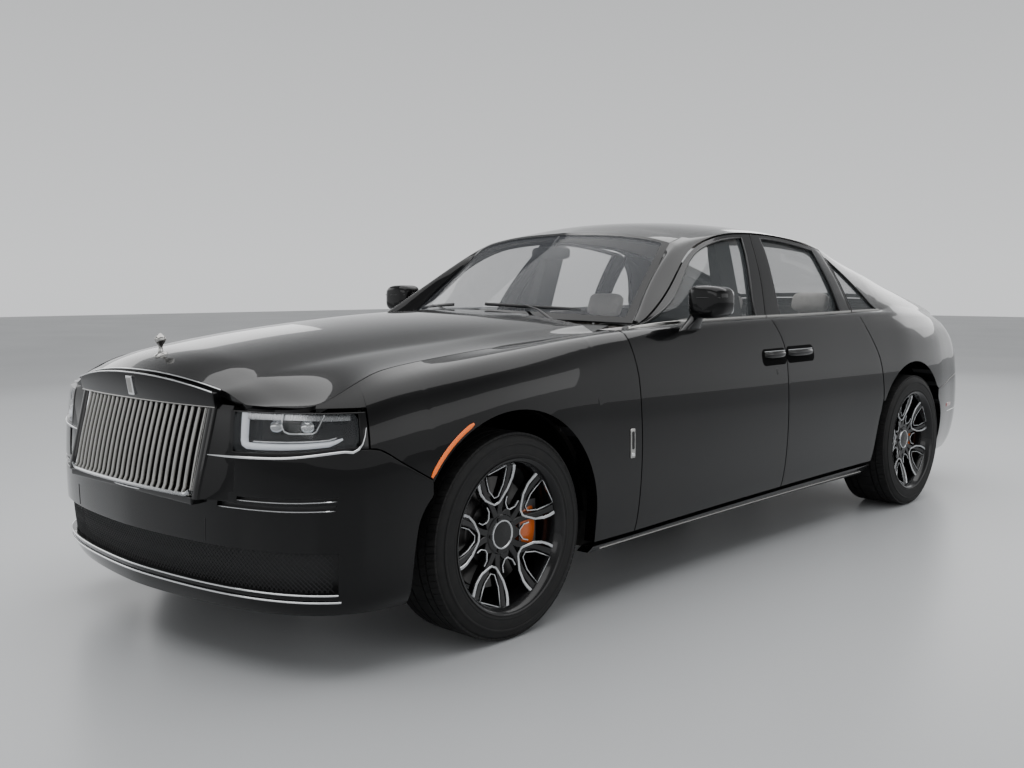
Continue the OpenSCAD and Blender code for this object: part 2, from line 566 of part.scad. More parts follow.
across = [0, 0.25, 0.5, 0.75, 1];
header = [[0, [0, -430, 1500]], [0.5, [300, -418, 1488]], [0.85, [510, -402, 1462]]];
scuttle = [[0, [0, -1080, 1114]], [0.35, [250, -1040, 1106]], [0.65, [460, -955, 1096]],
  [0.88, [630, -862, 1088]]];
function sized(p) = [p[0] * wide, along(p[1]), p[2] * tall];
function edge_curve(knots, last) = concat([for (k = knots) [k[0], sized(k[1])]], [[1, last]]);
header_curve = edge_curve(header, ditch(place(-400)));
scuttle_curve = edge_curve(scuttle, ditch(place(-930)));

// halves run from the middle to the left, and both_sides() mirrors them
module top_panel(half, t) {
  g = both_sides(half);
  slab(lowered(g, 0), lowered(g, t));
}
module windscreen() {
  side = [for (s = [-930, -760, -620, -480, -400]) ditch(place(s))];
  half = [for (u = across) [for (j = [0:4])
    let (v = [0, 0.31, 0.57, 0.85, 1][j], a = curve(scuttle_curve, u), b = curve(header_curve, u),
      own = mix(a, b, v), edge = mix(scuttle_curve[4][1], header_curve[3][1], v))
    u == 1 ? side[j] - [seam, 0, 0] : own + [0, 0, 10 * sin(180 * v)]]];
  color(glass_tint) top_panel(half, glass_thickness + 1);
}
roof_y = [-250, -100, 50, 200, 350, 500, 650, 800, 942];
roof_end = 1055;
module roof_panel() {
  half = [for (u = across) concat([curve(header_curve, u) - [u * seam, -seam, 0]],
    [for (y = concat(roof_y, [roof_end])) let (d = ditch(place(y)), x = (d[0] - seam) * u)
      [x, place(y), top_z(x, place(y))]])];
  color(paint) top_panel(half, lid_thickness);
}
boot_front = 2145;
module rear_window() {
  ys = [roof_end + 1, 1150, 1237, 1330, 1487, 1600, 1720, 1868, 1945, boot_front - panel_gap - 34];
  half = [for (u = across) [for (y = ys) let (d = ditch(place(y)), x = (d[0] - seam) * u)
    [x, place(y), top_z(x, place(y))]]];
  color(glass_tint) top_panel(half, glass_thickness + 1);
}
module quarter_windows() {
  color(glass_tint) pair()
    window_pane(side_grid(0), side_grid(quarter_thickness), side_n + 1, side_n + 3, 6, 8);
}

// ---------- bonnet, boot lid and the ends of the car ----------

// bonnet: side edge on the shoulder rail, crease and middle, each run from the front edge back
bonnet_side = [[0, -3010], [0.1, -2800], [0.2, -2640], [0.3, -2480], [0.42, -2250], [0.6, -1850],
  [0.8, -1455], [1, -1132]];
bonnet_crease = [[0, [463, -2660, 908]], [0.1, [478, -2580, 938]], [0.2, [493, -2490, 963]],
  [0.4, [518, -2200, 1000]], [0.6, [550, -1850, 1032]], [0.8, [610, -1470, 1066]],
  [1, [690, -1128, 1085]]];
bonnet_middle = [[0, [0, -2700, 951]], [0.1, [0, -2610, 998]], [0.2, [0, -2500, 1028]],
  [0.4, [0, -2200, 1072]], [0.6, [0, -1870, 1103]], [0.8, [0, -1500, 1126]], [1, [0, -1132, 1136]]];
function sized_curve(knots) = [for (k = knots) [k[0], sized(k[1])]];
crease_line = sized_curve(bonnet_crease);
middle_line = sized_curve(bonnet_middle);
function bonnet_edge(u, gap) =
  let (s = place(curve(bonnet_side, u)), p = rail(shoulder, s), n = plan(s)[1])
  [p[0] - n[0] * gap, p[1] - n[1] * gap, p[2]];
// across the bonnet: w is 0 in the middle, 1 on the crease and 2 at the side edge
function bonnet_point(u, w, gap) =
  let (c = curve(middle_line, u), b = curve(crease_line, u), a = bonnet_edge(u, gap))
  w <= 1
  ? [mix(c[0], b[0], w), mix(c[1], b[1], w ^ 2), mix(c[2], b[2], w ^ 2.2)]
  : let (t = w - 1)
    [mix(b[0], a[0], t), mix(b[1], a[1], t), mix(b[2], a[2], 0.4 * t + 0.6 * t ^ 2 * (3 - 2 * t))];
// place along the flank of a column of the bonnet
bonnet_from = 0.012;
function bonnet_s(u) = place(curve(bonnet_side, mix(bonnet_from, 1, u)));
bonnet_gap = panel_gap + 4;
bonnet_us = [0, 0.05, 0.1, 0.2, 0.25, 0.3, 0.33, 0.36, 0.39, 0.42, 0.52, 0.64, 0.76, 0.88, 1];
bonnet_seat_y = along(-1150);
module bonnet() {
  half = function (e, t) [for (w = [0, 0.35, 0.7, 1, 1.4, 1.7, 2]) [for (u = bonnet_us)
    bonnet_point(mix(bonnet_from + e / 400, 1 - e / 400, u), min(w, 2 - e / 30), panel_gap + 2)
    - [0, 0, w == 2 ? t / 2 : t]]];
  color(paint) {
    slab(both_sides(half(0, 0)), both_sides(half(4, lid_thickness)));
    pair() box([480, 520] * wide, [bonnet_seat_y - 30, bonnet_seat_y], [1015, 1098] * tall);
  }
}
module bonnet_ornament() {
  // before, under and behind the foot
  ridge = [for (u = [0.05, 0.1, 0.2]) bonnet_point(mix(bonnet_from, 1, u), 0, 0)];
  tilt = atan2(ridge[2][2] - ridge[0][2], ridge[2][1] - ridge[0][1]);
  color(metal) translate(ridge[1] + [0, 0, seat_gap]) {
    rotate([tilt, 0, 0]) cylinder(h = 9, r = 26, $fn = round_fn);
    translate([0, 0, 4]) cylinder(h = 30, r1 = 11, r2 = 7, $fn = round_fn);
    translate([0, 0, 48]) sphere(r = 22, $fn = 32);
  }
}

boot_side_s = [2150, 2250, 2400, 2550, 2690, 2830];
boot_side_gap = [[6, 0], [6, 0], [6, 0], [10, 5], [10, 5], [16, -2]];
boot_corner_s = 2850;
module boot_lid() {
  // deck between the pillars, then the rear face down to the bumper
  face_z = [1000, 940, 860, 780, 700];
  m = len(boot_side_s);
  function deck_edge(i, e) =
    ditch(place(boot_side_s[i])) - [boot_side_gap[i][0] + panel_gap - 6 + e, boot_side_gap[i][1], 0];
  rim_s = function (i, e) place(mix(tip, boot_corner_s, i / 5)) + e * i / 5;
  rim = function (e) [for (i = [0:5]) rail(shoulder, rim_s(i, e))];
  deck = function (e) let (
      side = [for (i = [0:m]) i == m ? rim(e)[5] : deck_edge(i, e)],
      front = [for (i = [0:5]) let (x = side[0][0] * i / 5, y = side[0][1] + e) [x, y, top_z(x, y)]],
      middle = [for (j = [0:m]) let (y = mix(front[0][1], rim(e)[0][1], j / m))
        [0, y, mix(top_z(0, y), rim(e)[0][2], (j / m) ^ 3)]])
    coons(front, rim(e), middle, side);
  down = function (t, e) [for (i = [0:5]) let (s = rim_s(i, e))
    [for (z = face_z) push(on_side(s, (z + (z == face_z[4] ? e : 0)) * tall), s, t)]];
  full = function (t, e) let (a = deck(e), b = down(t, e))
    [for (i = [0:5]) concat([for (j = [0:m]) a[i][j] - [0, t * j / (m + 3), t]], b[i])];
  color(paint) {
    slab(both_sides(full(0, 0)), both_sides(full(lid_thickness, edge_taper)));
    pair() box([400, 440] * wide, [along(2110), along(2185)], [1085, 1125] * tall);
  }
}
function turned(g) = [for (i = [len(g) - 1:-1:0]) g[i]];

module front_bumper() {
  rear_edge = [[200 * tall, -2264], [370 * tall, -2262], [480 * tall, -2246], [560 * tall, -2216],
    [620 * tall, -2186]];
  cs = [0, 0.06, 0.14, 0.22, 0.32, 0.42, 0.52, 0.6, 0.655, 0.72, 0.8, 0.9, 1];
  levels = [0, 262, 330, 400, 480, 560, 700];
  half = function (t) [for (c = [len(cs) - 1:-1:0]) [for (r = [0:6])
    let (z0 = r == 0 ? 205 * tall : levels[r] * tall,
      s0 = place(curve(rear_edge, min(z0, 620 * tall))), s = mix(s0, nose_mid, cs[c]),
      top = curve(bumper_top_front, s) - seam,
      z = r == 6 ? top : min(z0, mix(480 * tall, top, (r - 4) / 2 > 0 ? (r - 4) / 2 : 1)))
    r == 0 ? push(rail(0, s), s, t) : push(on_side(s, r < 4 ? z0 : z), s, t)]];
  color(paint) {
    slab(both_sides(half(0)), both_sides(half(bumper_thickness)), function (i, j)
      let (m = len(cs) - 1, c = i < m ? m - 1 - i : i - m, d = abs(i + 0.5 - m))
      (j == 5 && d < 4) || ((j == 1 || j == 2) && d < 6) ? false : true);
    pair() box([405, 445] * wide, [along(-2700), along(-2600) - seat_gap], [425, 465] * tall);
  }
}
module rear_bumper() {
  rear_edge = [[200 * tall, 1952], [370 * tall, 1950], [480 * tall, 1934], [560 * tall, 1905],
    [630 * tall, 1862]];
  cs = [0, 0.08, 0.18, 0.3, 0.42, 0.54, 0.66, 0.78, 0.9, 1];
  half = function (t) [for (c = [len(cs) - 1:-1:0]) [for (r = [0:5])
    let (z0 = [240, 300, 400, 480, 560, 700][r] * tall,
      s0 = place(curve(rear_edge, min(z0, 628 * tall))), s = mix(s0, tail_mid, cs[c]),
      top = curve(bumper_top_rear, s) - (s > place(2830) ? panel_gap - 2 : 0),
      z = r == 5 ? top : min(z0, mix(480 * tall, top, max(0, r - 3) / 2) + (r < 4 ? 1000 : 0)))
    push(r == 0 ? rail(0, s) : on_side(s, z), s, t)]];
  color(paint) {
    difference() {
      slab(turned(both_sides(half(0))), turned(both_sides(half(bumper_thickness))));
      translate([330, along(2600) + 60, 500]) rotate([-90, 0, 0]) cylinder(h = 200, r = 27, $fn = round_fn);
    }
    pair() box([405, 445] * wide, [along(2600) + seat_gap, along(2735)], [425, 465] * tall);
  }
}

grille_half = 440;
module grille() {
  // frame that stands proud of the nose, with upright vanes
  y_foot = -2773;
  y_head = -2686;
  z_foot = 573;
  z_head = 858;
  lean = function (z) mix(y_foot, y_head, (z - z_foot) / (z_head - z_foot));
  vane_count = 24;
  color(metal) {
    for (i = [0:vane_count - 1]) {
      x = mix(-grille_half + 26, grille_half - 26, i / (vane_count - 1));
      taper_box([(x - 4) * wide, (x + 4) * wide, along(lean(z_foot) + 12), along(-2640), (z_foot - 4) * tall],
        [(x - 4) * wide, (x + 4) * wide, along(lean(z_head) + 12), along(-2640), (z_head + 4) * tall]);
    }
    // foot, posts and head of the frame
    box([-grille_half * wide, grille_half * wide], [along(y_foot), along(-2640)], [z_foot - 8, z_foot] * tall);
    pair() taper_box([(grille_half - 12) * wide, grille_half * wide, along(y_foot), along(-2640), (z_foot - 8) * tall],
      [(grille_half - 12) * wide, (grille_half + 8) * wide, along(y_head), along(-2640), (z_head + 4) * tall]);
    half = function (t) [for (u = [0, 0.25, 0.5, 0.75, 1])
      let (p = bonnet_point(0, u, 0), x = u * (grille_half + 18))
      [for (v = [0, 1]) [x * wide, mix(along(-2690 + 20 * u ^ 2) + t * 40, p[1] - 16 + t * 10, v),
        mix(z_head * tall, p[2] - 3, v)]]];
    slab(both_sides(half(0)), both_sides(half(1)));
    box([-200 * wide, 200 * wide], [along(-2660), along(-2600) - seat_gap], [808, 838] * tall);
  }
}
module headlights() {
  cs = [0, 0.1, 0.25, 0.4, 0.55, 0.7, 0.85, 0.95, 1];
  cols = [for (i = [0:8]) place(mix(lamp_start, lamp_end, cs[i]))];
  g = function (t) [for (s = cols)
    let (k = column(s), low = level(k, s, curve(bumper_top_front, s) + 2 * seam),
      roof = level(k, s, 845 * tall))
    [for (j = [0:4]) push(curve(k, mix(low, roof, j / 4)), s, t)]];
  color(glass_tint) pair() {
    slab(g(2), g(82));
    box([500 * wide + seat_gap, 560 * wide], [along(-2600), along(-2555)], [750, 800] * tall);
  }
}
module tail_lights() {
  color([0.5, 0.05, 0.05]) pair() {
    g = function (t) [for (i = [12:15]) [for (r = [2:4])
      let (s = quarter_s(i, 800 * tall)) side_p(s, r, quarter_foot(s), t)]];
    slab(drawn_in(g(1), seam * 1.6), drawn_in(g(70), seam * 1.6));
  }
}
module cowl_panel() {
  wall = along(-1165) - seat_gap;
  half = function (t) [for (u = [0, 0.2, 0.4, 0.6, 0.8, 1])
    let (b = bonnet_point(1, u * 1.35, panel_gap), g = curve(scuttle_curve, u * 0.88))
    [for (v = [0, 0.5, 1]) [mix(b[0], g[0], v), mix(b[1] + bonnet_gap, g[1] - 3, v),
      mix(b[2] - 34, g[2] - 14, v) - t]]];
  color(trim) {
    slab(both_sides(half(0)), both_sides(half(22)));
    box([-560 * wide, 560 * wide], [bonnet_seat_y + seat_gap, along(-1080)], [1000, 1062] * tall);
    box([-560 * wide, 560 * wide], [wall - 25, along(-1080)], [985, 1004] * tall);
    box([-560 * wide, 560 * wide], [wall - 25, wall], [rail_z_front[1] + seat_gap, 990 * tall]);
    box([-rail_x[0] + seat_gap, rail_x[0] - seat_gap], [wall - 25, wall], [floor_z, rail_z_front[1] + 10]);
  }
}

// ---------- structure, cabin and running gear ----------

floor_top = floor_z + floor_t;
rail_x = [360, 440];
rail_z_front = [390, 480];
post_y = [along(-1165), along(-1094)];
step_y = along(700);
boot_y = along(1290);
rear_floor_z = [350, 375];
boot_floor_z = [440, 465];
well_inner_x = 485;
rear_well_x = 640;
crossmember_z = [250, 300];

module wheel_well(axle, x0, x1) {
  difference() {
    rod_x(x0, x1, arch_r + 22, axle, tyre_r);
    rod_x(x0 + 12, x1 + 1, arch_r + 2, axle, tyre_r);
    box([x0 - 2, x1 + 2], [axle - 2 * arch_r, axle + 2 * arch_r], [-200, tyre_r + arch_r * 0.33]);
  }
}
module body_frame() {
  color([0.16, 0.16, 0.17]) {
    // floor, tunnel, step under the rear seat and boot floor
    box([-sill_x + 40, sill_x - 40], [post_y[0], step_y + 20], [floor_z, floor_top]);
    difference() {
      box([-150, 150], [post_y[0], step_y + 20], [floor_z, 340]);
      box([-128, 128], [post_y[0] - 1, step_y - 2], [floor_z - 1, 318]);
    }
    box([-sill_x + 40, sill_x - 40], [step_y, step_y + 20], [floor_z, rear_floor_z[1]]);
    box([-rear_well_x, rear_well_x], [step_y, boot_y + 20], rear_floor_z);
    box([-rear_well_x, rear_well_x], [boot_y, boot_y + 20], [rear_floor_z[0], boot_floor_z[1]]);
    box([-rear_well_x, rear_well_x], [boot_y, along(2500)], boot_floor_z);
    box([-500, 500], [boot_y, along(2600)], boot_floor_z);
    box([-500, 500], [along(2570), along(2600)], [420, 600] * tall);
    pair() {
      // sill, jacking pads and posts
      box([sill_x - 190, sill_x], [post_y[0], along(1010)], [floor_z + 15, 390]);
      for (y = [along(-900), along(760)])
        box([sill_x - 60 - pad_w, sill_x - 60], [y, y + pad_l], [floor_z - 12, floor_z + 40]);
      box([700, sill_x], post_y, [300, 930 * tall]);
      for (z = hinge_z)
        box([sill_x - 10, hinge_x[1] * wide], [front_hinge_y - 40, front_hinge_y - seat_gap], z * tall);
      box([645, 745], [post_y[0] + 60, along(-755)], [880, 930] * tall);
      box([695, 745], [along(-890), along(-755)], [880 * tall, 1046 * tall - seat_gap]);
      taper_box([655, 715, along(-10), along(140), 380], [605, 680, along(10), along(150), 1040 * tall]);
      taper_box([605, 680, along(10), along(150), 1039 * tall],
        [510, 550, along(60), along(200), 1462 * tall]);
      // front rails, wheel wells and rear rails
      box(rail_x, [along(-2600), post_y[0] + 10], rail_z_front);
      taper_box([rail_x[0], rail_x[1], post_y[0] - 60, post_y[0] + 10, floor_z + 5],
        [rail_x[0], rail_x[1], post_y[0] - 260, post_y[0] + 10, rail_z_front[0] + 20]);
      wheel_well(front_axle, well_inner_x, 880 * wide);
      box([rail_x[0] + 20, well_inner_x + 6], [front_axle - 160, front_axle + 160], [515, 560]);
      box([rail_x[0] + 20, rail_x[1] - 10], [front_axle - 160, front_axle + 160], [475, 560]);
      wheel_well(rear_axle, rear_well_x, 800 * wide - seat_gap);
      box([rear_well_x - 60, rear_well_x + 6], [rear_axle - 170, rear_axle + 300], [boot_floor_z[0], 560]);
      box([rail_x[0] + 60, rail_x[1] + 60], [along(1760), along(2600)], [boot_floor_z[0] - 60, boot_floor_z[1]]);
      // radiator support
      box([450, 500] * wide, [along(-2600), along(-2555)], [300, 850] * tall);
    }
    box([-500 * wide, 500 * wide], [along(-2600), along(-2555)], [300, 345] * tall);
    box([-500 * wide, 500 * wide], [along(-2600), along(-2555)], [800, 850] * tall);
    box([-500 * wide, 500 * wide], [along(-2600), along(-2570)], [395, 475]);
    box([-rail_x[1], rail_x[1]], [front_axle - 60, front_axle + 40], crossmember_z);
    pair() box([rail_x[0], rail_x[1]], [front_axle - 60, front_axle + 40], [crossmember_z[0], rail_z_front[0] + 5]);
    // support under the rear window's foot, which the boot lid's hinges lie against
    box([-600 * wide, 600 * wide], [along(2060), along(2110) - seat_gap], [1060, 1105] * tall);
    pair() box([545 * wide, 600 * wide], [along(2060), along(2110) - seat_gap], [boot_floor_z[1] - 5, 1100 * tall]);
  }
}
module engine_block() {
  color([0.45, 0.45, 0.47])
    box([-250, 250], [along(-2080), along(-1240)], [crossmember_z[1] + seat_gap, 860 * tall]);
}
module exhaust() {
  color(metal) pair() {
    translate([230, along(-900), 150]) rotate([-90, 0, 0])
      cylinder(h = along(1900) - along(-900), r = 28, $fn = round_fn);
    box([140, 340], [along(1850), along(2420)], [190, 380]);
    translate([230, along(1840), 150]) rotate([-60, 0, 0]) cylinder(h = 130, r = 28, $fn = round_fn);
    translate([300, along(2400), 285]) rotate([-90, 0, 0]) cylinder(h = 190, r = 34, $fn = round_fn);
    for (y = [along(-600), along(200)])
      box([218, 242], [y, y + 40], [170, floor_z - seat_gap]);
    box([200, 240], [along(2100), along(2140)], [370, boot_floor_z[0] - seat_gap]);
  }
}
steer_x = 375;
steer_y = along(-430);
steer_z = 905 * tall;
steer_tilt = 24;
module steering_place() {
  translate([steer_x, steer_y, steer_z]) rotate([-90 + steer_tilt, 0, 0]) children();
}
module steering_wheel() {
  color(trim) steering_place() {
    rotate_extrude($fn = round_fn) translate([steering_d / 2 - 14, 0]) circle(r = 14, $fn = 24);
    translate([0, 0, -28]) cylinder(h = 42, r = 62, $fn = round_fn);
    for (a = [0, 90, 180]) rotate([0, 0, a]) translate([40, -13, -10]) cube([steering_d / 2 - 56, 26, 14]);
  }
}
module dashboard() {
  color(trim) {
    taper_box([-635, 635, along(-915), along(-640), 620 * tall], [-635, 635, along(-915), along(-560), 800 * tall]);
    taper_box([-635, 635, along(-915), along(-560), 799 * tall], [-635, 635, along(-915), along(-640), 985 * tall]);
    box([-300, 300], [post_y[0], along(-900)], [500, 880] * tall);
    box([-135, 135], [along(-900), along(330)], [340 + seat_gap, 560]);
    box([-135, 135], [along(-760), along(-620)], [500, 700]);
    steering_place() translate([0, 0, -28 - seat_gap - 170]) cylinder(h = 170, r = 38, $fn = round_fn);
  }
}
seat_w = 480;
module chair(y, tilt) {
  hull() {
    translate([-seat_w / 2 + 30, y, 400]) cube([seat_w - 60, 480, 40]);
    translate([-seat_w / 2, y + 10, 450]) cube([seat_w, 490, 90]);
    translate([-seat_w / 2 + 40, y + 10, 560]) cube([seat_w - 80, 460, 20]);
  }
  translate([0, y + 440, 470]) rotate([-tilt, 0, 0]) hull() {
    translate([-seat_w / 2 + 12, 0, 0]) cube([seat_w - 24, 110, 60]);
    translate([-seat_w / 2 + 25, 0, 560]) cube([seat_w - 50, 100, 60]);
  }
  translate([0, y + 440, 470]) rotate([-tilt, 0, 0]) {
    hull() {
      translate([-130, 5, 650]) cube([260, 90, 20]);
      translate([-120, 5, 790]) cube([240, 80, 20]);
    }
    box([-70, 70], [35, 60], [600, 680]);
  }
}
module front_seats() {
  color(leather) pair() translate([388, 0, 0]) {
    chair(along(-330), 20);
    pair() box([170, 200], [along(-330) + 60, along(-330) + 440], [floor_top + seat_gap, 420]);
  }
}
module rear_seat() {
  y = step_y + 40;
  color(leather) {
    hull() {
      translate([-600, y, rear_floor_z[1] + seat_gap]) cube([1200, 480, 60]);
      translate([-610, y, 500]) cube([1220, 500, 80]);
    }
    translate([0, y + 385, 505]) rotate([-22, 0, 0]) hull() {
      translate([-600, 0, 0]) cube([1200, 110, 60]);
      translate([-560, 0, 560]) cube([1120, 100, 50]);
    }
    translate([0, y + 385, 505]) rotate([-22, 0, 0]) for (x = [-350, 350]) translate([x, 0, 0]) {
      hull() {
        translate([-130, 5, 640]) cube([260, 90, 20]);
        translate([-120, 5, 770]) cube([240, 80, 20]);
      }
      box([-70, 70], [35, 60], [590, 660]);
    }
  }
}
module rear_number_plate() {
  y = along(2762) + 3;
  color([0.85, 0.85, 0.85]) difference() {
    box([-plate_w / 2, plate_w / 2], [y, y + 6], [520 * tall - plate_h / 2, 520 * tall + plate_h / 2]);
    for (x = [-plate_screws / 2, plate_screws / 2])
      translate([x, y - 20, 520 * tall]) rotate([-90, 0, 0]) cylinder(h = 40, r = plate_hole_r, $fn = 32);
  }
}
module towing_sockets() {
  color(metal) {
    difference() {
      translate([230, along(-2600) - seat_gap, 322]) rotate([90, 0, 0]) cylinder(h = 55, r = 16, $fn = round_fn);
      translate([230, along(-2600) - 56, 322]) rotate([-90, 0, 0]) cylinder(h = tow_depth + 1, r = tow_r, $fn = round_fn);
    }
    difference() {
      translate([330, along(2600) + seat_gap, 500]) rotate([-90, 0, 0]) cylinder(h = 55, r = 16, $fn = round_fn);
      translate([330, along(2600) + 56, 500]) rotate([90, 0, 0]) cylinder(h = tow_depth + 1, r = tow_r, $fn = round_fn);
    }
  }
}

rim_r = rim_diameter / 2;
disc_t = 30;
disc_back = 20;
module tyre(w) {
  shoulder_r = 26;
  color(rubber) rotate([0, 90, 0]) rotate_extrude($fn = 96)
    polygon([[rim_r, -w / 2 + 8], [rim_r + 25, -w / 2], [tyre_r - shoulder_r, -w / 2 + 6],
      [tyre_r - 8, -w / 2 + 20], [tyre_r, -w / 2 + 44], [tyre_r, w / 2 - 44], [tyre_r - 8, w / 2 - 20],
      [tyre_r - shoulder_r, w / 2 - 6], [rim_r + 25, w / 2], [rim_r, w / 2 - 8]]);
}
hub_r = 75;
face_x = 62;
module wheel(w) {
  color(metal) rotate([0, 90, 0]) {
    rotate_extrude($fn = 96) polygon([[rim_r - 0.2, -w / 2 + 8], [rim_r - 0.2, w / 2 - 8],
      [rim_r - 16, w / 2 - 4], [rim_r - 20, w / 2 - 24], [rim_r - 26, 20], [rim_r - 22, -w / 2 + 30],
      [rim_r - 16, -w / 2 + 8]]);
    difference() {
      translate([0, 0, -disc_back]) cylinder(h = face_x + 20 + disc_back, r = hub_r, $fn = round_fn);
      translate([0, 0, -disc_back - 1]) cylinder(h = 66 + disc_back, r = spindle_r + seat_gap, $fn = round_fn);
    }
    for (i = [0:spokes - 1]) rotate([0, 0, 360 * i / spokes]) for (m = [-1, 1])
      rotate([0, 0, 10 * m]) translate([50, -16, 42]) cube([rim_r - 62, 32, 36]);
    difference() {
      translate([0, 0, -disc_back]) cylinder(h = disc_t, r = disc_r, $fn = 96);
      translate([0, 0, -disc_back - 1]) cylinder(h = 60, r = spindle_r + seat_gap, $fn = round_fn);
    }
  }
}
module caliper() {
  // straddles the disc behind the axle
  difference() {
    box([-disc_back - 26, disc_t - disc_back + 24], [disc_r - 75, disc_r + 13], [-95, 95]);
    rod_x(-disc_back - 5, disc_t - disc_back + 5, disc_r + 5, 0, 0);
  }
}
module knuckle() {
  // origin at the wheel's middle; the wheel lies towards +X
  pin = -kingpin_offset;
  color([0.4, 0.4, 0.42]) {
    rod_x(pin, 60, spindle_r, 0, 0);
    box([pin - 20, pin + 22], [-40, 40], [-95, 95]);
    translate([pin, 0, -150]) cylinder(h = 300, r = kingpin_r, $fn = round_fn);
  }
  color([0.85, 0.3, 0.05]) {
    caliper();
    box([pin - 14, -disc_back - 8], [20, disc_r - 40], [-30, 30]);
  }
}
module wheel_at(axle, track) {
  translate([track / 2, axle, tyre_r]) children();
}
kingpin_x = front_track / 2 - kingpin_offset;
module front_suspension() {
  color([0.3, 0.3, 0.32]) pair() {
    for (z = [-135, 105]) translate([0, 0, tyre_r + z]) {
      difference() {
        union() {
          translate([kingpin_x, front_axle, 0]) cylinder(h = 30, r = kingpin_r + 14, $fn = round_fn);
          hull() {
            translate([kingpin_x - 30, front_axle - 12, 4]) cube([20, 24, 22]);
            translate([rail_x[1] + 30, front_axle - 170, 4]) cube([20, 340, 22]);
          }
        }
        translate([kingpin_x, front_axle, -1]) cylinder(h = 32, r = kingpin_r + seat_gap, $fn = round_fn);
      }
    }
    box([rail_x[1] + seat_gap, rail_x[1] + 55], [front_axle - 175, front_axle + 175], [tyre_r - 135, tyre_r - 105]);
    box([rail_x[1] + seat_gap, rail_x[1] + 55], [front_axle - 175, front_axle + 175], [tyre_r + 105, tyre_r + 135]);
    box([rail_x[1] + seat_gap, rail_x[1] + 30], [front_axle - 50, front_axle + 50], [tyre_r - 106, tyre_r + 106]);
  }
}
module rear_suspension() {
  pin = 40;
  color([0.3, 0.3, 0.32]) {
    pair() {
      wheel_at(rear_axle, rear_track) {
        rod_x(-60, 60, spindle_r, 0, 0);
        box([-95, -45], [-60, 60], [-130, 130]);
        caliper();
        box([-60, -disc_back - 8], [20, disc_r - 40], [-30, 30]);
      }
      rod_x(100, rear_track / 2 - 60, 22, rear_axle, tyre_r);
      for (z = [-120, 38]) hull() {
        translate([rear_track / 2 - 95, rear_axle - 40, tyre_r + z]) cube([20, 80, 30]);
        translate([280, rear_axle - 120, tyre_r + z]) cube([20, 240, 30]);
      }
    }
    box([-150, 150], [rear_axle - 130, rear_axle + 130], [tyre_r - 110, tyre_r + 60]);
    box([-300, 300], [rear_axle - 140, rear_axle + 140], [tyre_r - 125, tyre_r - 90]);
    pair() box([270, 300], [rear_axle - 140, rear_axle + 140], [tyre_r - 125, tyre_r + 60]);
    pair() box([240, 300], [rear_axle - 140, rear_axle + 140], [tyre_r + 50, boot_floor_z[0] - seat_gap]);
  }
}
body_frame();
body_side();  // body_side_left
sided(true) body_side();  // body_side_right
rocker_panels();
roof_panel();
front_wing();  // front_wing_left
sided(true) front_wing();  // front_wing_right
front_bumper();
rear_bumper();
grille();
headlights();
tail_lights();
windscreen();
rear_window();
quarter_windows();
cowl_panel();
dashboard();
front_seats();
rear_seat();
engine_block();
front_suspension();
rear_suspension();
exhaust();
rear_number_plate();
towing_sockets();
bonnet();
bonnet_ornament();
boot_lid();
front_door();  // front_door_left
sided(true) front_door();  // front_door_right
front_door_glass();  // front_door_glass_left
sided(true) front_door_glass();  // front_door_glass_right
door_mirror();  // door_mirror_left
sided(true) door_mirror();  // door_mirror_right
rear_door();  // rear_door_left
sided(true) rear_door();  // rear_door_right
rear_door_glass();  // rear_door_glass_left
sided(true) rear_door_glass();  // rear_door_glass_right
steering_wheel();
wheel_at(front_axle, front_track) knuckle();  // front_knuckle_left
sided(true) wheel_at(front_axle, front_track) knuckle();  // front_knuckle_right
wheel_at(front_axle, front_track) tyre(front_tyre_width);  // tyre_front_left
sided(true) wheel_at(front_axle, front_track) tyre(front_tyre_width);  // tyre_front_right
wheel_at(rear_axle, rear_track) tyre(rear_tyre_width);  // tyre_rear_left
sided(true) wheel_at(rear_axle, rear_track) tyre(rear_tyre_width);  // tyre_rear_right
wheel_at(front_axle, front_track) wheel(front_tyre_width);  // wheel_front_left
sided(true) wheel_at(front_axle, front_track) wheel(front_tyre_width);  // wheel_front_right
wheel_at(rear_axle, rear_track) wheel(rear_tyre_width);  // wheel_rear_left
sided(true) wheel_at(rear_axle, rear_track) wheel(rear_tyre_width);  // wheel_rear_right
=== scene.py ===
"""Looks of a long four-door saloon, built round its CAD frame.

Shapes are worked out in millimetres in the frame's own axes (+Z up, the car faces -Y, its left
side is +X), and mesh() turns them into metres. Panels are read off one smooth table of the
flank: a place s runs along the car and round its nose and tail, and a level v runs from the
sill (0) over the shoulder (7) to the crease under the roof (8).
"""

from math import atan2, cos, exp, pi, radians, sin, sqrt

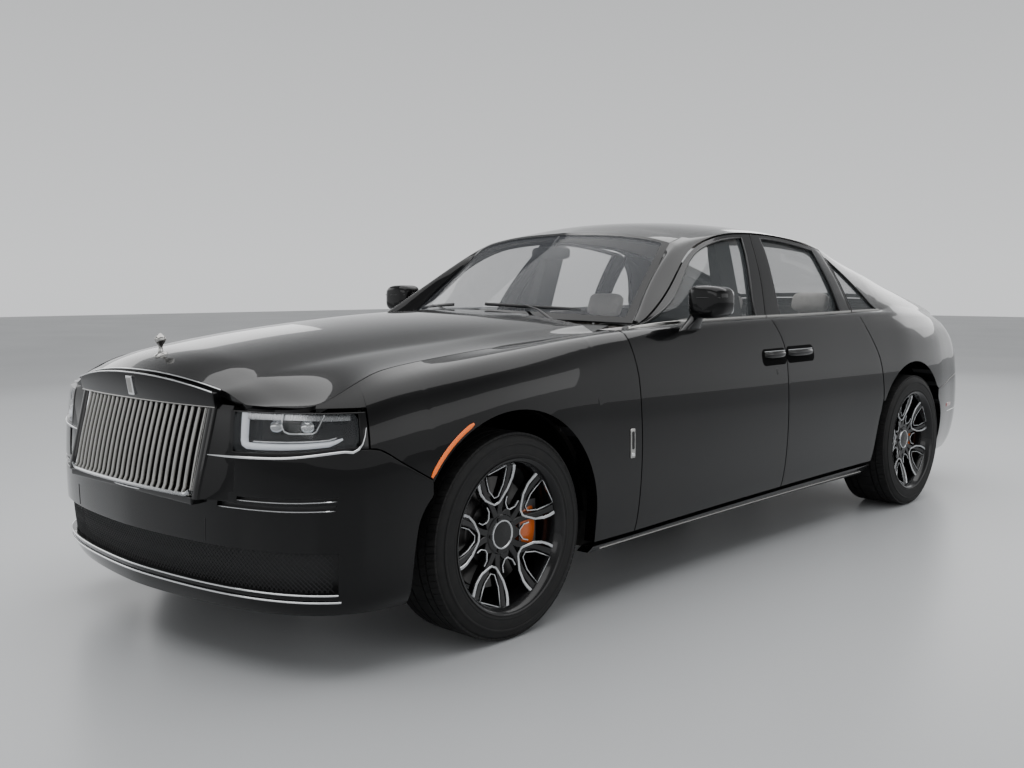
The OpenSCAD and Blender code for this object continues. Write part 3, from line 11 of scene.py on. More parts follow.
import bmesh
import bpy
import numpy as np
from numpy import array, concatenate, linspace
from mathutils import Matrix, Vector


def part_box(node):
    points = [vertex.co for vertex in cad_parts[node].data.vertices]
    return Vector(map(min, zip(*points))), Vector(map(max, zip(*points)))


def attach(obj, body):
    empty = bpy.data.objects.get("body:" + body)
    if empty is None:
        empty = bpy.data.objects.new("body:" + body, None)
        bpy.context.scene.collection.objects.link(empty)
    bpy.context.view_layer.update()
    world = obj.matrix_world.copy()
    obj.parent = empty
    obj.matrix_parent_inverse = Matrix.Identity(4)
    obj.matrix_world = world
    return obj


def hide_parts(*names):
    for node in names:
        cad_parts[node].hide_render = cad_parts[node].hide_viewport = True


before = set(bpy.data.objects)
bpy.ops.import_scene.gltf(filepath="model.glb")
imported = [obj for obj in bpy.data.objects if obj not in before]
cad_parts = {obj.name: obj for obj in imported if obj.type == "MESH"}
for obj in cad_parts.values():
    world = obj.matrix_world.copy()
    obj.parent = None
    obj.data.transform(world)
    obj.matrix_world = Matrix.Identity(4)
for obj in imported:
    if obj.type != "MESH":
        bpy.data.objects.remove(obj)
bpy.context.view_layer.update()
MM = 0.001

# ---- outlines


def knots(*pairs):
    return array([k for k, _ in pairs], float), array([v for _, v in pairs], float)


def curve(line, x):
    """Smooth curve through the knots, read at x."""
    at, value = line
    x = np.asarray(x, float)
    i = np.clip(np.searchsorted(at, x, side="left") - 1, 0, len(at) - 2)
    before, after = np.maximum(np.arange(len(at)) - 1, 0), np.minimum(np.arange(len(at)) + 1, len(at) - 1)
    wide = (1,) * (value.ndim - 1)
    slope = (value[after] - value[before]) / (at[after] - at[before]).reshape(-1, *wide)
    step = at[i + 1] - at[i]
    t = np.clip((x - at[i]) / step, 0, 1)
    t, step = t.reshape(t.shape + wide), step.reshape(step.shape + wide)
    return (value[i] * (2 * t ** 3 - 3 * t ** 2 + 1) + slope[i] * step * (t ** 3 - 2 * t ** 2 + t)
            + value[i + 1] * (3 * t ** 2 - 2 * t ** 3) + slope[i + 1] * step * (t ** 3 - t ** 2))


def mix(a, b, t):
    return a + (b - a) * t


def ease(a, b, x):
    t = np.clip((np.asarray(x, float) - a) / (b - a), 0, 1)
    return t * t * (3 - 2 * t)


def bell(field, sigma, axis, pinned=False):
    """Smooths a table of points along one axis. A pinned table keeps its ends."""
    reach = int(3 * sigma) + 1
    weights = np.exp(-0.5 * (np.arange(-reach, reach + 1) / sigma) ** 2)
    weights /= weights.sum()
    field = np.moveaxis(field, axis, 0)
    first, last = field[:1], field[-1:]
    head, tail = field[1:reach + 1][::-1], field[-reach - 1:-1][::-1]
    if pinned:
        head, tail = 2 * first - head, 2 * last - tail
    long = concatenate([head, field, tail])
    out = sum(w * long[k:k + len(field)] for k, w in enumerate(weights))
    return np.moveaxis(out, 0, axis)


SIDE_END, END_RUN = 2250.0, 1200.0
TIP = SIDE_END + END_RUN
FRONT_AXLE, REAR_AXLE, TYRE_R = -1808.0, 1487.0, 368.5
ARCH_GAP = 80
ARCH_R = TYRE_R + ARCH_GAP
SHOULDER, CREASE = 7.0, 8.0
GAP = 6.0

flank_x = knots((-2560, 935), (-2250, 952), (-1808, 985), (-1250, 977), (-700, 967), (0, 963),
                (700, 968), (1200, 981), (1487, 989), (1900, 966), (2250, 905), (2560, 860))
nose_plan = array([[952, -2250], [945, -2625], [640, -2718], [0, -2745]], float)
tail_plan = array([[905, 2250], [860, 2560], [620, 2757], [0, 2762]], float)
rail_z = [
    knots((-3450, 205), (-2250, 215), (0, 225), (2250, 235), (3450, 240)),
    knots((-3450, 262), (-2250, 262), (-1100, 268), (1100, 300), (2250, 300), (3450, 300)),
    knots((-3450, 400), (-1808, 400), (1500, 420), (3450, 430)),
    knots((-3450, 550), (-1808, 590), (1500, 600), (3450, 580)),
    knots((-3450, 700), (-2850, 705), (-2550, 710), (-2250, 740), (-1808, 790), (-1100, 800),
          (1500, 800), (2550, 790), (3450, 765)),
    knots((-3450, 790), (-2850, 785), (-2550, 800), (-2250, 855), (-1808, 925), (-1100, 950),
          (1500, 950), (2250, 925), (2550, 905), (3450, 885)),
    knots((-3450, 850), (-2850, 845), (-2550, 865), (-2250, 930), (-1808, 1000), (-1100, 1062),
          (-550, 1063), (600, 1078), (1300, 1080), (1800, 1062), (2250, 1022), (2550, 990), (3450, 985)),
    knots((-3450, 880), (-2850, 868), (-2700, 870), (-2550, 915), (-2400, 948), (-2250, 972),
          (-2100, 990), (-1808, 1015), (-1350, 1040), (-1090, 1055), (-700, 1085), (600, 1098),
          (1300, 1105), (1800, 1090), (2250, 1060), (2550, 1030), (3450, 1022))]
rail_inset = [
    knots((-3450, 30), (-2250, 55), (-1100, 68), (1500, 68), (2550, 65), (3450, 75)),
    knots((-3450, 10), (-2250, 25), (-1100, 32), (1500, 30), (3450, 35)),
    knots((-3450, 0), (-1100, 9), (1500, 8), (3450, 5)),
    knots((-3450, 0), (3450, 0)),
    knots((-3450, 6), (-2850, 6), (-2250, 8), (-1808, 4), (-1100, 8), (1500, 6), (2250, 10),
          (2850, 20), (3450, 48)),
    knots((-3450, 14), (-2850, 13), (-2550, 22), (-2250, 32), (-1808, 30), (-1100, 28), (1500, 32),
          (2250, 38), (2850, 60), (3450, 95)),
    knots((-3450, 24), (-2850, 22), (-2550, 50), (-2250, 80), (-1808, 95), (-1100, 76), (0, 68),
          (1300, 76), (1800, 92), (2250, 95), (2850, 110), (3450, 140)),
    knots((-3450, 34), (-2850, 32), (-2700, 45), (-2550, 95), (-2400, 135), (-2250, 166),
          (-1808, 200), (-1350, 185), (-1090, 188), (-700, 120), (0, 115), (1300, 130), (1800, 150),
          (2250, 160), (2850, 190), (3450, 220))]
crease_line = knots(
    (-930, (792, -930, 1080)), (-640, (692, -640, 1290)), (-400, (652, -400, 1417)),
    (-150, (648, -150, 1472)), (150, (640, 150, 1502)), (480, (640, 480, 1498)),
    (850, (648, 850, 1462)), (1150, (646, 1150, 1388)), (1450, (645, 1450, 1315)),
    (1750, (645, 1750, 1240)), (2050, (652, 2050, 1172)), (2250, (670, 2225, 1124)),
    (2400, (690, 2318, 1085)), (2550, (684, 2371, 1036)), (2690, (630, 2411, 1032)),
    (2830, (567, 2446, 1028)))
crease_by_y = (crease_line[1][:, 1], crease_line[1])
middle_z = knots((-430, 1500), (-100, 1555), (300, 1571), (700, 1552), (1000, 1515), (1300, 1450),
                 (1650, 1340), (1950, 1225), (2130, 1165), (2350, 1105), (2553, 1025))
ditch_line = knots((-930, (715, -812)), (-640, (652, -578)), (-400, (607, -390)), (-150, (580, -150)),
                   (150, (570, 150)), (500, (570, 500)), (850, (570, 850)), (1060, (552, 1060)),
                   (1450, (530, 1450)), (1750, (525, 1750)), (2050, (540, 2050)), (2250, (568, 2225)),
                   (2400, (592, 2318)), (2550, (606, 2371)), (2690, (596, 2411)), (2830, (553, 2440)))
pillar_z = knots((-930, 1084), (-640, 1277), (-400, 1437))


def unit(v):
    return v / np.linalg.norm(v, axis=-1, keepdims=True)


def bezier(p, t):
    t = t[..., None]
    return p[0] * (1 - t) ** 3 + p[1] * 3 * (1 - t) ** 2 * t + p[2] * 3 * (1 - t) * t ** 2 + p[3] * t ** 3


def bezier_way(p, t):
    t = t[..., None]
    return unit((p[1] - p[0]) * (1 - t) ** 2 + (p[2] - p[1]) * 2 * (1 - t) * t + (p[3] - p[2]) * t ** 2)


def top_z(x, y):
    side, middle = curve(crease_by_y, y), curve(middle_z, y)
    return side[..., 2] + (middle - side[..., 2]) * (1 - np.minimum(1, np.abs(x) / side[..., 0]) ** 2.2)


def ditch(s):
    p = curve(ditch_line, s)
    z = np.where(np.asarray(s) <= -400, curve(pillar_z, s), top_z(p[..., 0], p[..., 1]))
    return concatenate([p, z[..., None]], axis=-1)


# ---- table of the flank

S_STEP, V_STEP = 10.0, 0.02
places = np.arange(-TIP, TIP + 1, S_STEP)
levels = np.arange(0, CREASE + V_STEP / 2, V_STEP)


def plan_table(s):
    front = np.clip((-SIDE_END - s) / END_RUN, 0, 1)
    back = np.clip((s - SIDE_END) / END_RUN, 0, 1)
    x = curve(flank_x, s)
    way = unit(np.stack([curve(flank_x, s + 1) - curve(flank_x, s - 1), np.full_like(s, 2.0)], -1))
    point = np.stack([x, s], -1)
    nose, tail = (s < -SIDE_END)[:, None], (s > SIDE_END)[:, None]
    point = np.where(nose, bezier(nose_plan, front), np.where(tail, bezier(tail_plan, back), point))
    way = np.where(nose, -bezier_way(nose_plan, front), np.where(tail, bezier_way(tail_plan, back), way))
    return point, np.stack([way[:, 1], -way[:, 0]], -1)


def mirrored_bell(field, sigma, odd):
    """Smooths along the car. The table's two ends lie on the middle plane."""
    pad = int(3 * sigma) + 1
    sign = np.ones(field.shape[-1])
    sign[odd] = -1
    head, tail = field[1:pad + 1][::-1] * sign, field[-pad - 1:-1][::-1] * sign
    return bell(concatenate([head, field, tail]), sigma, 0)[pad:-pad]


plan, outward = plan_table(places)
rails = np.stack([concatenate([plan - outward * curve(rail_inset[j], places)[:, None],
                                  curve(rail_z[j], places)[:, None]], -1) for j in range(8)], 1)
rails = np.stack([mirrored_bell(rails[:, j], 4.5, 0) for j in range(8)], 1)
outward = unit(mirrored_bell(outward, 4.5, 0))
crest = curve(crease_line, places)
crest = np.where((places < 2300)[:, None], bell(crest, 3.0, 0, True), crest)


def column_table():
    flank = np.stack([curve((np.arange(8.0), row), levels[levels <= SHOULDER]) for row in rails])
    flank = bell(flank, 0.16 / V_STEP, 1, pinned=True)
    h = (levels[levels > SHOULDER] - SHOULDER)[None, :, None]
    glass = mix(rails[:, None, 7], crest[:, None], h) + 14 * np.sin(np.pi * h) * array([0.9, 0, 0.4])
    sharp = concatenate([flank, glass], 1)
    soft = bell(sharp, 0.3 / V_STEP, 1, pinned=True)
    late = (ease(1260, 1560, places) * (1 - ease(2300, 2450, places)))[:, None, None]
    return mix(sharp, soft, late)


table = column_table()
table_z = table[:, :, 2]


def read(field, s):
    f = np.clip((np.asarray(s, float) + TIP) / S_STEP, 0, len(places) - 1.001)
    i = f.astype(int)
    w = (f - i).reshape(f.shape + (1,) * (field.ndim - 1))
    return field[i] * (1 - w) + field[i + 1] * w


def side(s, v):
    """Point of the flank at place s and level v. Past the tip of the nose or tail it runs on mirrored."""
    s, v = np.broadcast_arrays(np.asarray(s, float), np.asarray(v, float))
    over = np.abs(s) > TIP
    s = np.where(over, np.sign(s) * 2 * TIP - s, s)
    f = np.clip(v / V_STEP, 0, len(levels) - 1.001)
    i = f.astype(int)
    g = np.clip((s + TIP) / S_STEP, 0, len(places) - 1.001)
    k = g.astype(int)
    a, b = (f - i)[..., None], (g - k)[..., None]
    p = (table[k, i] * (1 - a) + table[k, i + 1] * a) * (1 - b) \
        + (table[k + 1, i] * (1 - a) + table[k + 1, i + 1] * a) * b
    return np.where(over[..., None], p * [-1, 1, 1], p)


def level(s, z, low=0.0, high=SHOULDER):
    """Level of height z on the flank at place s, between two levels."""
    s, z = np.broadcast_arrays(np.asarray(s, float), np.asarray(z, float))
    out = np.empty(s.shape)
    a, b = int(round(low / V_STEP)), int(round(high / V_STEP)) + 1
    for at, place in np.ndenumerate(s):
        heights = np.maximum.accumulate(read(table_z[:, a:b], min(abs(place), 2 * TIP - abs(place)) * np.sign(place)))
        out[at] = np.interp(z[at], heights + np.arange(b - a) * 1e-6, levels[a:b])
    return out


def push(p, s, depth):
    """Moves points of the flank inwards by a depth, level with the ground."""
    n = read(outward, np.clip(s, -TIP, TIP))
    out = array(p, float)
    out[..., :2] -= n * np.asarray(depth, float)[..., None]
    return out


glass_top = knots((-900, 1075), (-860, 1087), (-620, 1185), (-330, 1375), (-100, 1448), (150, 1474),
                 (480, 1470), (850, 1424), (930, 1402), (1060, 1310), (1160, 1205), (1237, 1108), (1330, 1108))
door_top = knots((-960, 1072), (-900, 1081), (-800, 1125), (-620, 1220), (-330, 1396), (-100, 1466),
                (150, 1492), (480, 1488), (850, 1446), (930, 1426), (1060, 1350), (1160, 1265),
                (1237, 1190), (1330, 1150))
door_foot = knots((-1100, 268), (1110, 300))
front_cut = knots((200, -1085), (850, -1085), (1062, -1114))
pillar_tip = knots((200, -958), (1500, -958))
front_glass_a = knots((200, -890), (1500, -890))
front_glass_b = knots((200, -42), (1100, -20), (1460, 146))
middle_cut = knots((200, 88), (860, 97), (940, 97), (1010, 78), (1070, 52), (1100, 62), (1500, 240))
rear_glass_a = knots((200, 190), (1100, 205), (1460, 320))
rear_glass_b = knots((200, 830), (1500, 830))
rear_cut = knots((280, 1028), (370, 1030), (480, 1046), (560, 1070), (620, 1098), (740, 1092),
                (860, 1062), (950, 1012), (1036, 958), (1100, 934), (1500, 934))
bumper_top_front = knots((-3450, 705), (-2850, 716), (-2430, 738), (-2300, 680), (-2183, 616))
bumper_top_rear = knots((1850, 630), (2100, 668), (2300, 690), (2560, 680), (2900, 640), (3450, 625))

# ---- materials


class Value:
    """A shader socket that can be used in arithmetic."""

    def __init__(self, nodes, socket):
        self.nodes, self.socket = nodes, socket

    def _math(self, operation, *values):
        return self.nodes.add("ShaderNodeMath", {"operation": operation}, dict(enumerate(values)))

    def __add__(self, other):
        return self._math("ADD", self, other)

    def __mul__(self, other):
        return self._math("MULTIPLY", self, other)

    def __sub__(self, other):
        return self._math("SUBTRACT", self, other)

    def __rsub__(self, other):
        return self._math("SUBTRACT", other, self)

    __radd__, __rmul__ = __add__, __mul__

    def above(self, edge, soft):
        """0 below the edge and 1 above it, over a soft width."""
        return self.nodes.add("ShaderNodeMapRange", {"interpolation_type": "SMOOTHSTEP"},
                              {"Value": self, "From Min": edge - soft, "From Max": edge + soft})

    def mixed(self, low, high):
        return self.nodes.add("ShaderNodeMix", {"data_type": "RGBA"},
                              {"Factor": self, 6: (*low, 1), 7: (*high, 1)}, out=2)


class Finish:
    """A material and its nodes."""

    def __init__(self, name, color=(0.5, 0.5, 0.5), rough=0.5, metal=0.0, **sockets):
        self.material = bpy.data.materials.new(name)
        self.material.use_nodes = True
        self.tree = self.material.node_tree
        self.shader = self.tree.nodes["Principled BSDF"]
        self.set("Base Color", (*color, 1))
        self.set("Roughness", rough)
        self.set("Metallic", metal)
        for key, value in sockets.items():
            self.set(key.replace("_", " "), value)
        self.material.diffuse_color = (*color, 1)

    def set(self, name, value):
        socket = self.shader.inputs[name]
        if isinstance(value, Value):
            self.tree.links.new(value.socket, socket)
        else:
            socket.default_value = value

    def add(self, kind, settings=None, inputs=None, out=0):
        node = self.tree.nodes.new(kind)
        for key, value in (settings or {}).items():
            setattr(node, key, value)
        for key, value in (inputs or {}).items():
            if isinstance(value, Value):
                self.tree.links.new(value.socket, node.inputs[key])
            else:
                node.inputs[key].default_value = value
        return Value(self, node.outputs[out])

    def place(self, scale=(1, 1, 1)):
        here = self.add("ShaderNodeTexCoord", out=3)
        return self.add("ShaderNodeMapping", inputs={"Vector": here, "Scale": scale})

    def noise(self, scale, detail=3, rough=0.55, stretch=(1, 1, 1)):
        return self.add("ShaderNodeTexNoise", inputs={"Vector": self.place(stretch), "Scale": scale,
                                                      "Detail": detail, "Roughness": rough})

    def cells(self, scale, feature="F1", stretch=(1, 1, 1)):
        return self.add("ShaderNodeTexVoronoi", {"feature": feature},
                        {"Vector": self.place(stretch), "Scale": scale})

    def bump(self, height, strength, distance=0.001):
        self.set("Normal", self.add("ShaderNodeBump", inputs={"Height": height, "Strength": strength,
                                                              "Distance": distance}))
        return self


def finish(name, color, rough, scale, detail=3, stretch=(1, 1, 1), metal=0.0, roughness=None, tones=None,
           bump=None, bump_noise=None, **sockets):
    """A finish led by one noise.

    roughness is where it starts and how far the noise lifts it. tones is the edge and softness
    between two colours, and the two colours. bump is its strength and depth, and lies on its own
    noise where bump_noise is given.
    """
    f = Finish(name, color, rough, metal, **sockets)
    grain = f.noise(scale, detail, stretch=stretch)
    if tones:
        f.set("Base Color", grain.above(*tones[:2]).mixed(*tones[2:]))
    if roughness:
        f.set("Roughness", roughness[0] + roughness[1] * grain)
    if bump:
        f.bump(f.noise(*bump_noise) if bump_noise else grain, *bump)
    return f.material


def clear_glass(name, tint, alpha):
    made = finish(name, tint, 0.02, 5, roughness=(0.012, 0.02), Alpha=alpha, Specular_IOR_Level=0.6,
                  Coat_Weight=0.5, Coat_Roughness=0.01)
    made.surface_render_method = "DITHERED"
    return made


def leather(name, color, dark):
    f = Finish(name, color, 0.5)
    pores = f.cells(520)
    folds = f.noise(30, 4)
    f.set("Base Color", folds.above(0.5, 0.3).mixed(dark, color))
    f.set("Roughness", 0.42 + 0.2 * folds)
    return f.bump(pores + 0.6 * folds, 0.10, 0.0004).material


PAINT = finish("gloss_black_paint", (0.0022, 0.0022, 0.0025), 0.16, 3.0, 4, roughness=(0.2, 0.08),
               Coat_Weight=1.0, Coat_Roughness=0.015, Coat_IOR=1.3, Specular_IOR_Level=0.08)
GLOSS = finish("gloss_black_trim", (0.003, 0.003, 0.0034), 0.12, 20, roughness=(0.09, 0.08),
               Coat_Weight=0.5, Coat_Roughness=0.03, Coat_IOR=1.35, Specular_IOR_Level=0.2)
# near-black with almost no reflection: painted shade, used for the handle recesses and the wheel arch liners
SHADE_BLACK = finish("painted_shade_black", (0.0025, 0.0025, 0.0027), 0.8, 60, roughness=(0.7, 0.2), Specular_IOR_Level=0.05)
SATIN = finish("satin_black_trim", (0.012, 0.012, 0.013), 0.4, 900, 2, roughness=(0.34, 0.16), bump=(0.15, 0.0004))
DARK = finish("dark_chrome", (0.42, 0.415, 0.40), 0.16, 60, stretch=(1, 1, 0.05), metal=1.0, roughness=(0.1, 0.16))
BRIGHT = finish("bright_chrome", (0.82, 0.83, 0.84), 0.07, 14, metal=1.0, roughness=(0.04, 0.08))
ALLOY = finish("machined_alloy", (0.55, 0.56, 0.57), 0.24, 240, 2, (1, 0.15, 0.15), 1.0, (0.18, 0.16),
               bump=(0.08, 0.0003))
WHEEL = finish("wheel_black", (0.004, 0.004, 0.0045), 0.22, 30, roughness=(0.18, 0.12), Coat_Weight=0.3,
               Coat_Roughness=0.06, Specular_IOR_Level=0.25)
RUBBER = finish("tyre_rubber", (0.007, 0.007, 0.0075), 0.66, 26, 4, roughness=(0.56, 0.22),
                tones=(0.55, 0.25, (0.006, 0.006, 0.0063), (0.013, 0.0127, 0.0124)),
                bump=(0.25, 0.0005), bump_noise=(700, 2), Specular_IOR_Level=0.3)
IRON = finish("brake_disc_iron", (0.10, 0.098, 0.096), 0.34, 150, 2, (1, 0.3, 0.3), 1.0, (0.26, 0.2),
              bump=(0.1, 0.0003))
ORANGE = finish("orange_caliper", (0.72, 0.14, 0.012), 0.32, 50, roughness=(0.26, 0.14), Coat_Weight=0.5,
                Coat_Roughness=0.1)
CAST = finish("cast_metal", (0.17, 0.17, 0.175), 0.5, 160, 4, metal=0.9, roughness=(0.4, 0.25), bump=(0.35, 0.0008))
CHASSIS = finish("chassis_steel", (0.03, 0.03, 0.032), 0.55, 7, 5, metal=0.3, roughness=(0.48, 0.25),
                 tones=(0.56, 0.16, (0.016, 0.016, 0.017), (0.05, 0.047, 0.043)),
                 bump=(0.2, 0.0006), bump_noise=(260, 3))
STEEL = finish("exhaust_steel", (0.42, 0.40, 0.37), 0.36, 9, 4, metal=1.0, roughness=(0.3, 0.2),
               tones=(0.52, 0.2, (0.42, 0.41, 0.39), (0.33, 0.26, 0.19)))
CARPET = finish("carpet", (0.02, 0.02, 0.021), 0.95, 900, bump=(0.8, 0.002),
                tones=(0.5, 0.3, (0.012, 0.012, 0.013), (0.045, 0.044, 0.043)))
CEILING = finish("ceiling_cloth", (0.50, 0.48, 0.45), 0.9, 1100, 2, bump=(0.08, 0.0004),
                 tones=(0.5, 0.3, (0.44, 0.42, 0.40), (0.56, 0.54, 0.51)))
WOOD = finish("dark_veneer", (0.03, 0.012, 0.006), 0.2, 14, 5, (0.25, 1, 4), Coat_Weight=0.8, Coat_Roughness=0.03,
              tones=(0.5, 0.2, (0.012, 0.006, 0.004), (0.05, 0.022, 0.010)))
RED = finish("red_lens", (0.30, 0.006, 0.008), 0.08, 80, 1, (1, 1, 0.04), Coat_Weight=1.0, Coat_Roughness=0.02,
             tones=(0.5, 0.2, (0.16, 0.002, 0.004), (0.42, 0.012, 0.012)), bump=(0.3, 0.001))
GUIDE = finish("light_guide", (0.80, 0.83, 0.86), 0.25, 60, roughness=(0.2, 0.1),
               Emission_Color=(0.85, 0.9, 1, 1), Emission_Strength=0.35)
AMBER = finish("amber_marker", (0.85, 0.15, 0.005), 0.3, 90, roughness=(0.16, 0.1), Coat_Weight=0.3,
               Emission_Color=(1, 0.16, 0.004, 1), Emission_Strength=0.25)
PLATE = finish("plate_white", (0.78, 0.78, 0.76), 0.3, 40, roughness=(0.25, 0.12))
MESH = finish("intake_mesh", (0.010, 0.010, 0.011), 0.5, 300, roughness=(0.42, 0.2))
MIRROR = finish("mirror_glass", (0.75, 0.77, 0.78), 0.02, 6, metal=1.0, roughness=(0.01, 0.02))
GLASS = clear_glass("window_glass", (0.09, 0.10, 0.105), 0.24)
SCREEN = clear_glass("windscreen_glass", (0.14, 0.15, 0.17), 0.14)
LENS = clear_glass("lamp_lens", (0.06, 0.065, 0.07), 0.16)
HIDE = leather("pale_leather", (0.60, 0.58, 0.55), (0.50, 0.48, 0.455))
DASH = leather("black_leather", (0.016, 0.015, 0.015), (0.010, 0.010, 0.010))

# ---- making meshes


def flipped(points):
    return np.asarray(points, float) * [-1, 1, 1]


def both(half):
    """The whole width from a half whose first row lies on the middle plane."""
    return concatenate([flipped(half[::-1]), half[1:]])


def both_from_side(half):
    """The whole width from a half whose last row lies on the middle plane."""
    return concatenate([half, flipped(half[-2::-1])])


def turns(n, whole=2 * np.pi):
    """Angles of n even steps round a circle."""
    return linspace(0, whole, n + 1)[:-1]


def ring_faces(m, n, closed=False):
    """Faces that join m rings of n points, with flat ends unless the run is closed."""
    faces = [(i * n + j, i * n + (j + 1) % n, (i + 1) % m * n + (j + 1) % n, (i + 1) % m * n + j)
             for i in range(m if closed else m - 1) for j in range(n)]
    return faces if closed else faces + [tuple(range(n)), tuple(range((m - 1) * n, m * n))]


def mesh(name, points, faces, material, body, smooth=35, bevel=0.0, slot=None, kinds=None, right=False):
    """A piece made of points in millimetres, on a body. kinds gives each face's material number."""
    points = flipped(points) if right else points
    data = bpy.data.meshes.new(name)
    data.from_pydata((np.asarray(points, float) * MM).tolist(), [], faces)
    made = bpy.data.objects.new(name, data)
    bpy.context.scene.collection.objects.link(made)
    for m in material if isinstance(material, (list, tuple)) else [material]:
        data.materials.append(m)
    if kinds is not None:
        data.polygons.foreach_set("material_index", np.asarray(kinds, int))
    b = bmesh.new()
    b.from_mesh(data)
    bmesh.ops.remove_doubles(b, verts=b.verts, dist=0.00002)
    bmesh.ops.recalc_face_normals(b, faces=b.faces)
    b.to_mesh(data)
    b.free()
    data.polygons.foreach_set("use_smooth", np.ones(len(data.polygons), bool))
    data.set_sharp_from_angle(angle=radians(smooth))
    if bevel:
        mod = made.modifiers.new("rounded edges", "BEVEL")
        mod.width, mod.segments, mod.limit_method = bevel * MM, 2, "ANGLE"
        mod.angle_limit, mod.harden_normals = radians(50), False
        mod.use_clamp_overlap = True
        made.modifiers.new("even shading", "WEIGHTED_NORMAL").keep_sharp = False
        data.set_sharp_from_angle(angle=radians(180))
    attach(made, body)
    return made


def shell(outer, inner, keep=None):
    """Points and faces of the solid between two grids of points, without the cells left out."""
    m, n = outer.shape[:2]
    points = concatenate([outer.reshape(-1, 3), inner.reshape(-1, 3)])
    back = m * n
    has = np.zeros((m + 1, n + 1), bool)
    for i in range(m - 1):
        for j in range(n - 1):
            has[i, j] = keep is None or keep(i, j)
    faces, kinds = [], []
    for i in range(m - 1):
        for j in range(n - 1):
            if not has[i, j]:
                continue
            a, b, c, d = i * n + j, i * n + j + 1, (i + 1) * n + j + 1, (i + 1) * n + j
            faces += [(a, b, c, d), (back + a, back + d, back + c, back + b)]
            kinds += [0, 1]
            for (u, v), off in (((a, d), (i, j - 1)), ((b, c), (i, j + 1)), ((a, b), (i - 1, j)), ((d, c), (i + 1, j))):
                if not has[off]:
                    faces.append((u, v, back + v, back + u))
                    kinds.append(0)
    return points, faces, kinds


def panel(name, outer, inner, body, keep=None, materials=None, bevel=2.2, slot="body_paint", right=False):
    """The solid between two grids. Its two materials are the outside's and the inside's."""
    points, faces, kinds = shell(outer, inner, keep)
    return mesh(name, points, faces, materials or [PAINT, SATIN], body, bevel=bevel, slot=slot, kinds=kinds,
                right=right)


def tube(name, path, radius, material, body, sides=12, closed=False, flat=(1, 1), right=False, slot=None,
         up=(0, 0, 1), taper=None):
    """A rod along a path. flat scales its two thicknesses, the second along up."""
    path = np.asarray(path, float)
    if right:
        path = flipped(path)
    count = len(path)
    ahead = np.roll(path, -1, 0) - np.roll(path, 1, 0)
    if not closed:
        ahead[0], ahead[-1] = path[1] - path[0], path[-1] - path[-2]
    ahead = unit(ahead)
    across = np.cross(ahead, np.asarray(up, float))
    across[np.linalg.norm(across, axis=1) < 0.05] = (1, 0, 0)
    across = unit(across)
    lift = np.cross(across, ahead)
    angle = linspace(0, 2 * np.pi, sides, endpoint=False)
    size = radius * (np.ones(count) if taper is None else np.asarray(taper, float))
    ring = path[:, None] + size[:, None, None] * (np.cos(angle)[None, :, None] * across[:, None] * flat[0]
                                                  + np.sin(angle)[None, :, None] * lift[:, None] * flat[1])
    return mesh(name, ring.reshape(-1, 3), ring_faces(count, sides, closed), material, body, smooth=50, slot=slot)


def wrapped_faces(m, n):
    """Faces of m columns of n points that close into a ring."""
    return [(i * n + j, (i + 1) % m * n + j, (i + 1) % m * n + j + 1, i * n + j + 1)
            for i in range(m) for j in range(n - 1)]


def turned(profile, sides=96):
    """Points and faces of a profile of (x, r) turned about the X axis."""
    profile = np.asarray(profile, float)
    angle = linspace(0, 2 * np.pi, sides, endpoint=False)
    n = len(profile)
    points = np.stack([np.repeat(profile[None, :, 0], sides, 0), profile[None, :, 1] * np.cos(angle)[:, None],
                       profile[None, :, 1] * np.sin(angle)[:, None]], -1).reshape(-1, 3)
    return points, [face[:1] + face[:0:-1] for face in wrapped_faces(sides, n)]


def block(name, low, high, material, body, bevel=3.0, slot=None, taper=(1, 1), shear=0.0):
    """A box with rounded edges. taper narrows its top, and shear moves the top along Y."""
    low, high = np.asarray(low, float), np.asarray(high, float)
    middle = (low + high) / 2
    points = []
    for z in (low[2], high[2]):
        scale = array(taper) if z == high[2] else np.ones(2)
        for x, y in ((low[0], low[1]), (high[0], low[1]), (high[0], high[1]), (low[0], high[1])):
            points.append([middle[0] + (x - middle[0]) * scale[0],
                           middle[1] + (y - middle[1]) * scale[1] + (shear if z == high[2] else 0), z])
    faces = [(0, 1, 2, 3), (4, 5, 6, 7), (0, 1, 5, 4), (1, 2, 6, 5), (2, 3, 7, 6), (3, 0, 4, 7)]
    return mesh(name, points, faces, material, body, bevel=bevel, slot=slot)


SIDES = (("left", False), ("right", True))
hidden = set()


def stands_for(made, *nodes):
    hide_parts(*[n for n in nodes if n not in hidden])
    hidden.update(nodes)

# ---- doors


def at_column(lines, c):
    """Value between the outlines at column c, which counts them from 0."""
    k = np.minimum(np.floor(c).astype(int), len(lines) - 2)
    low = np.take_along_axis(lines, k[None], 0)[0]
    high = np.take_along_axis(lines, k[None] + 1, 0)[0]
    return mix(low, high, c - k)


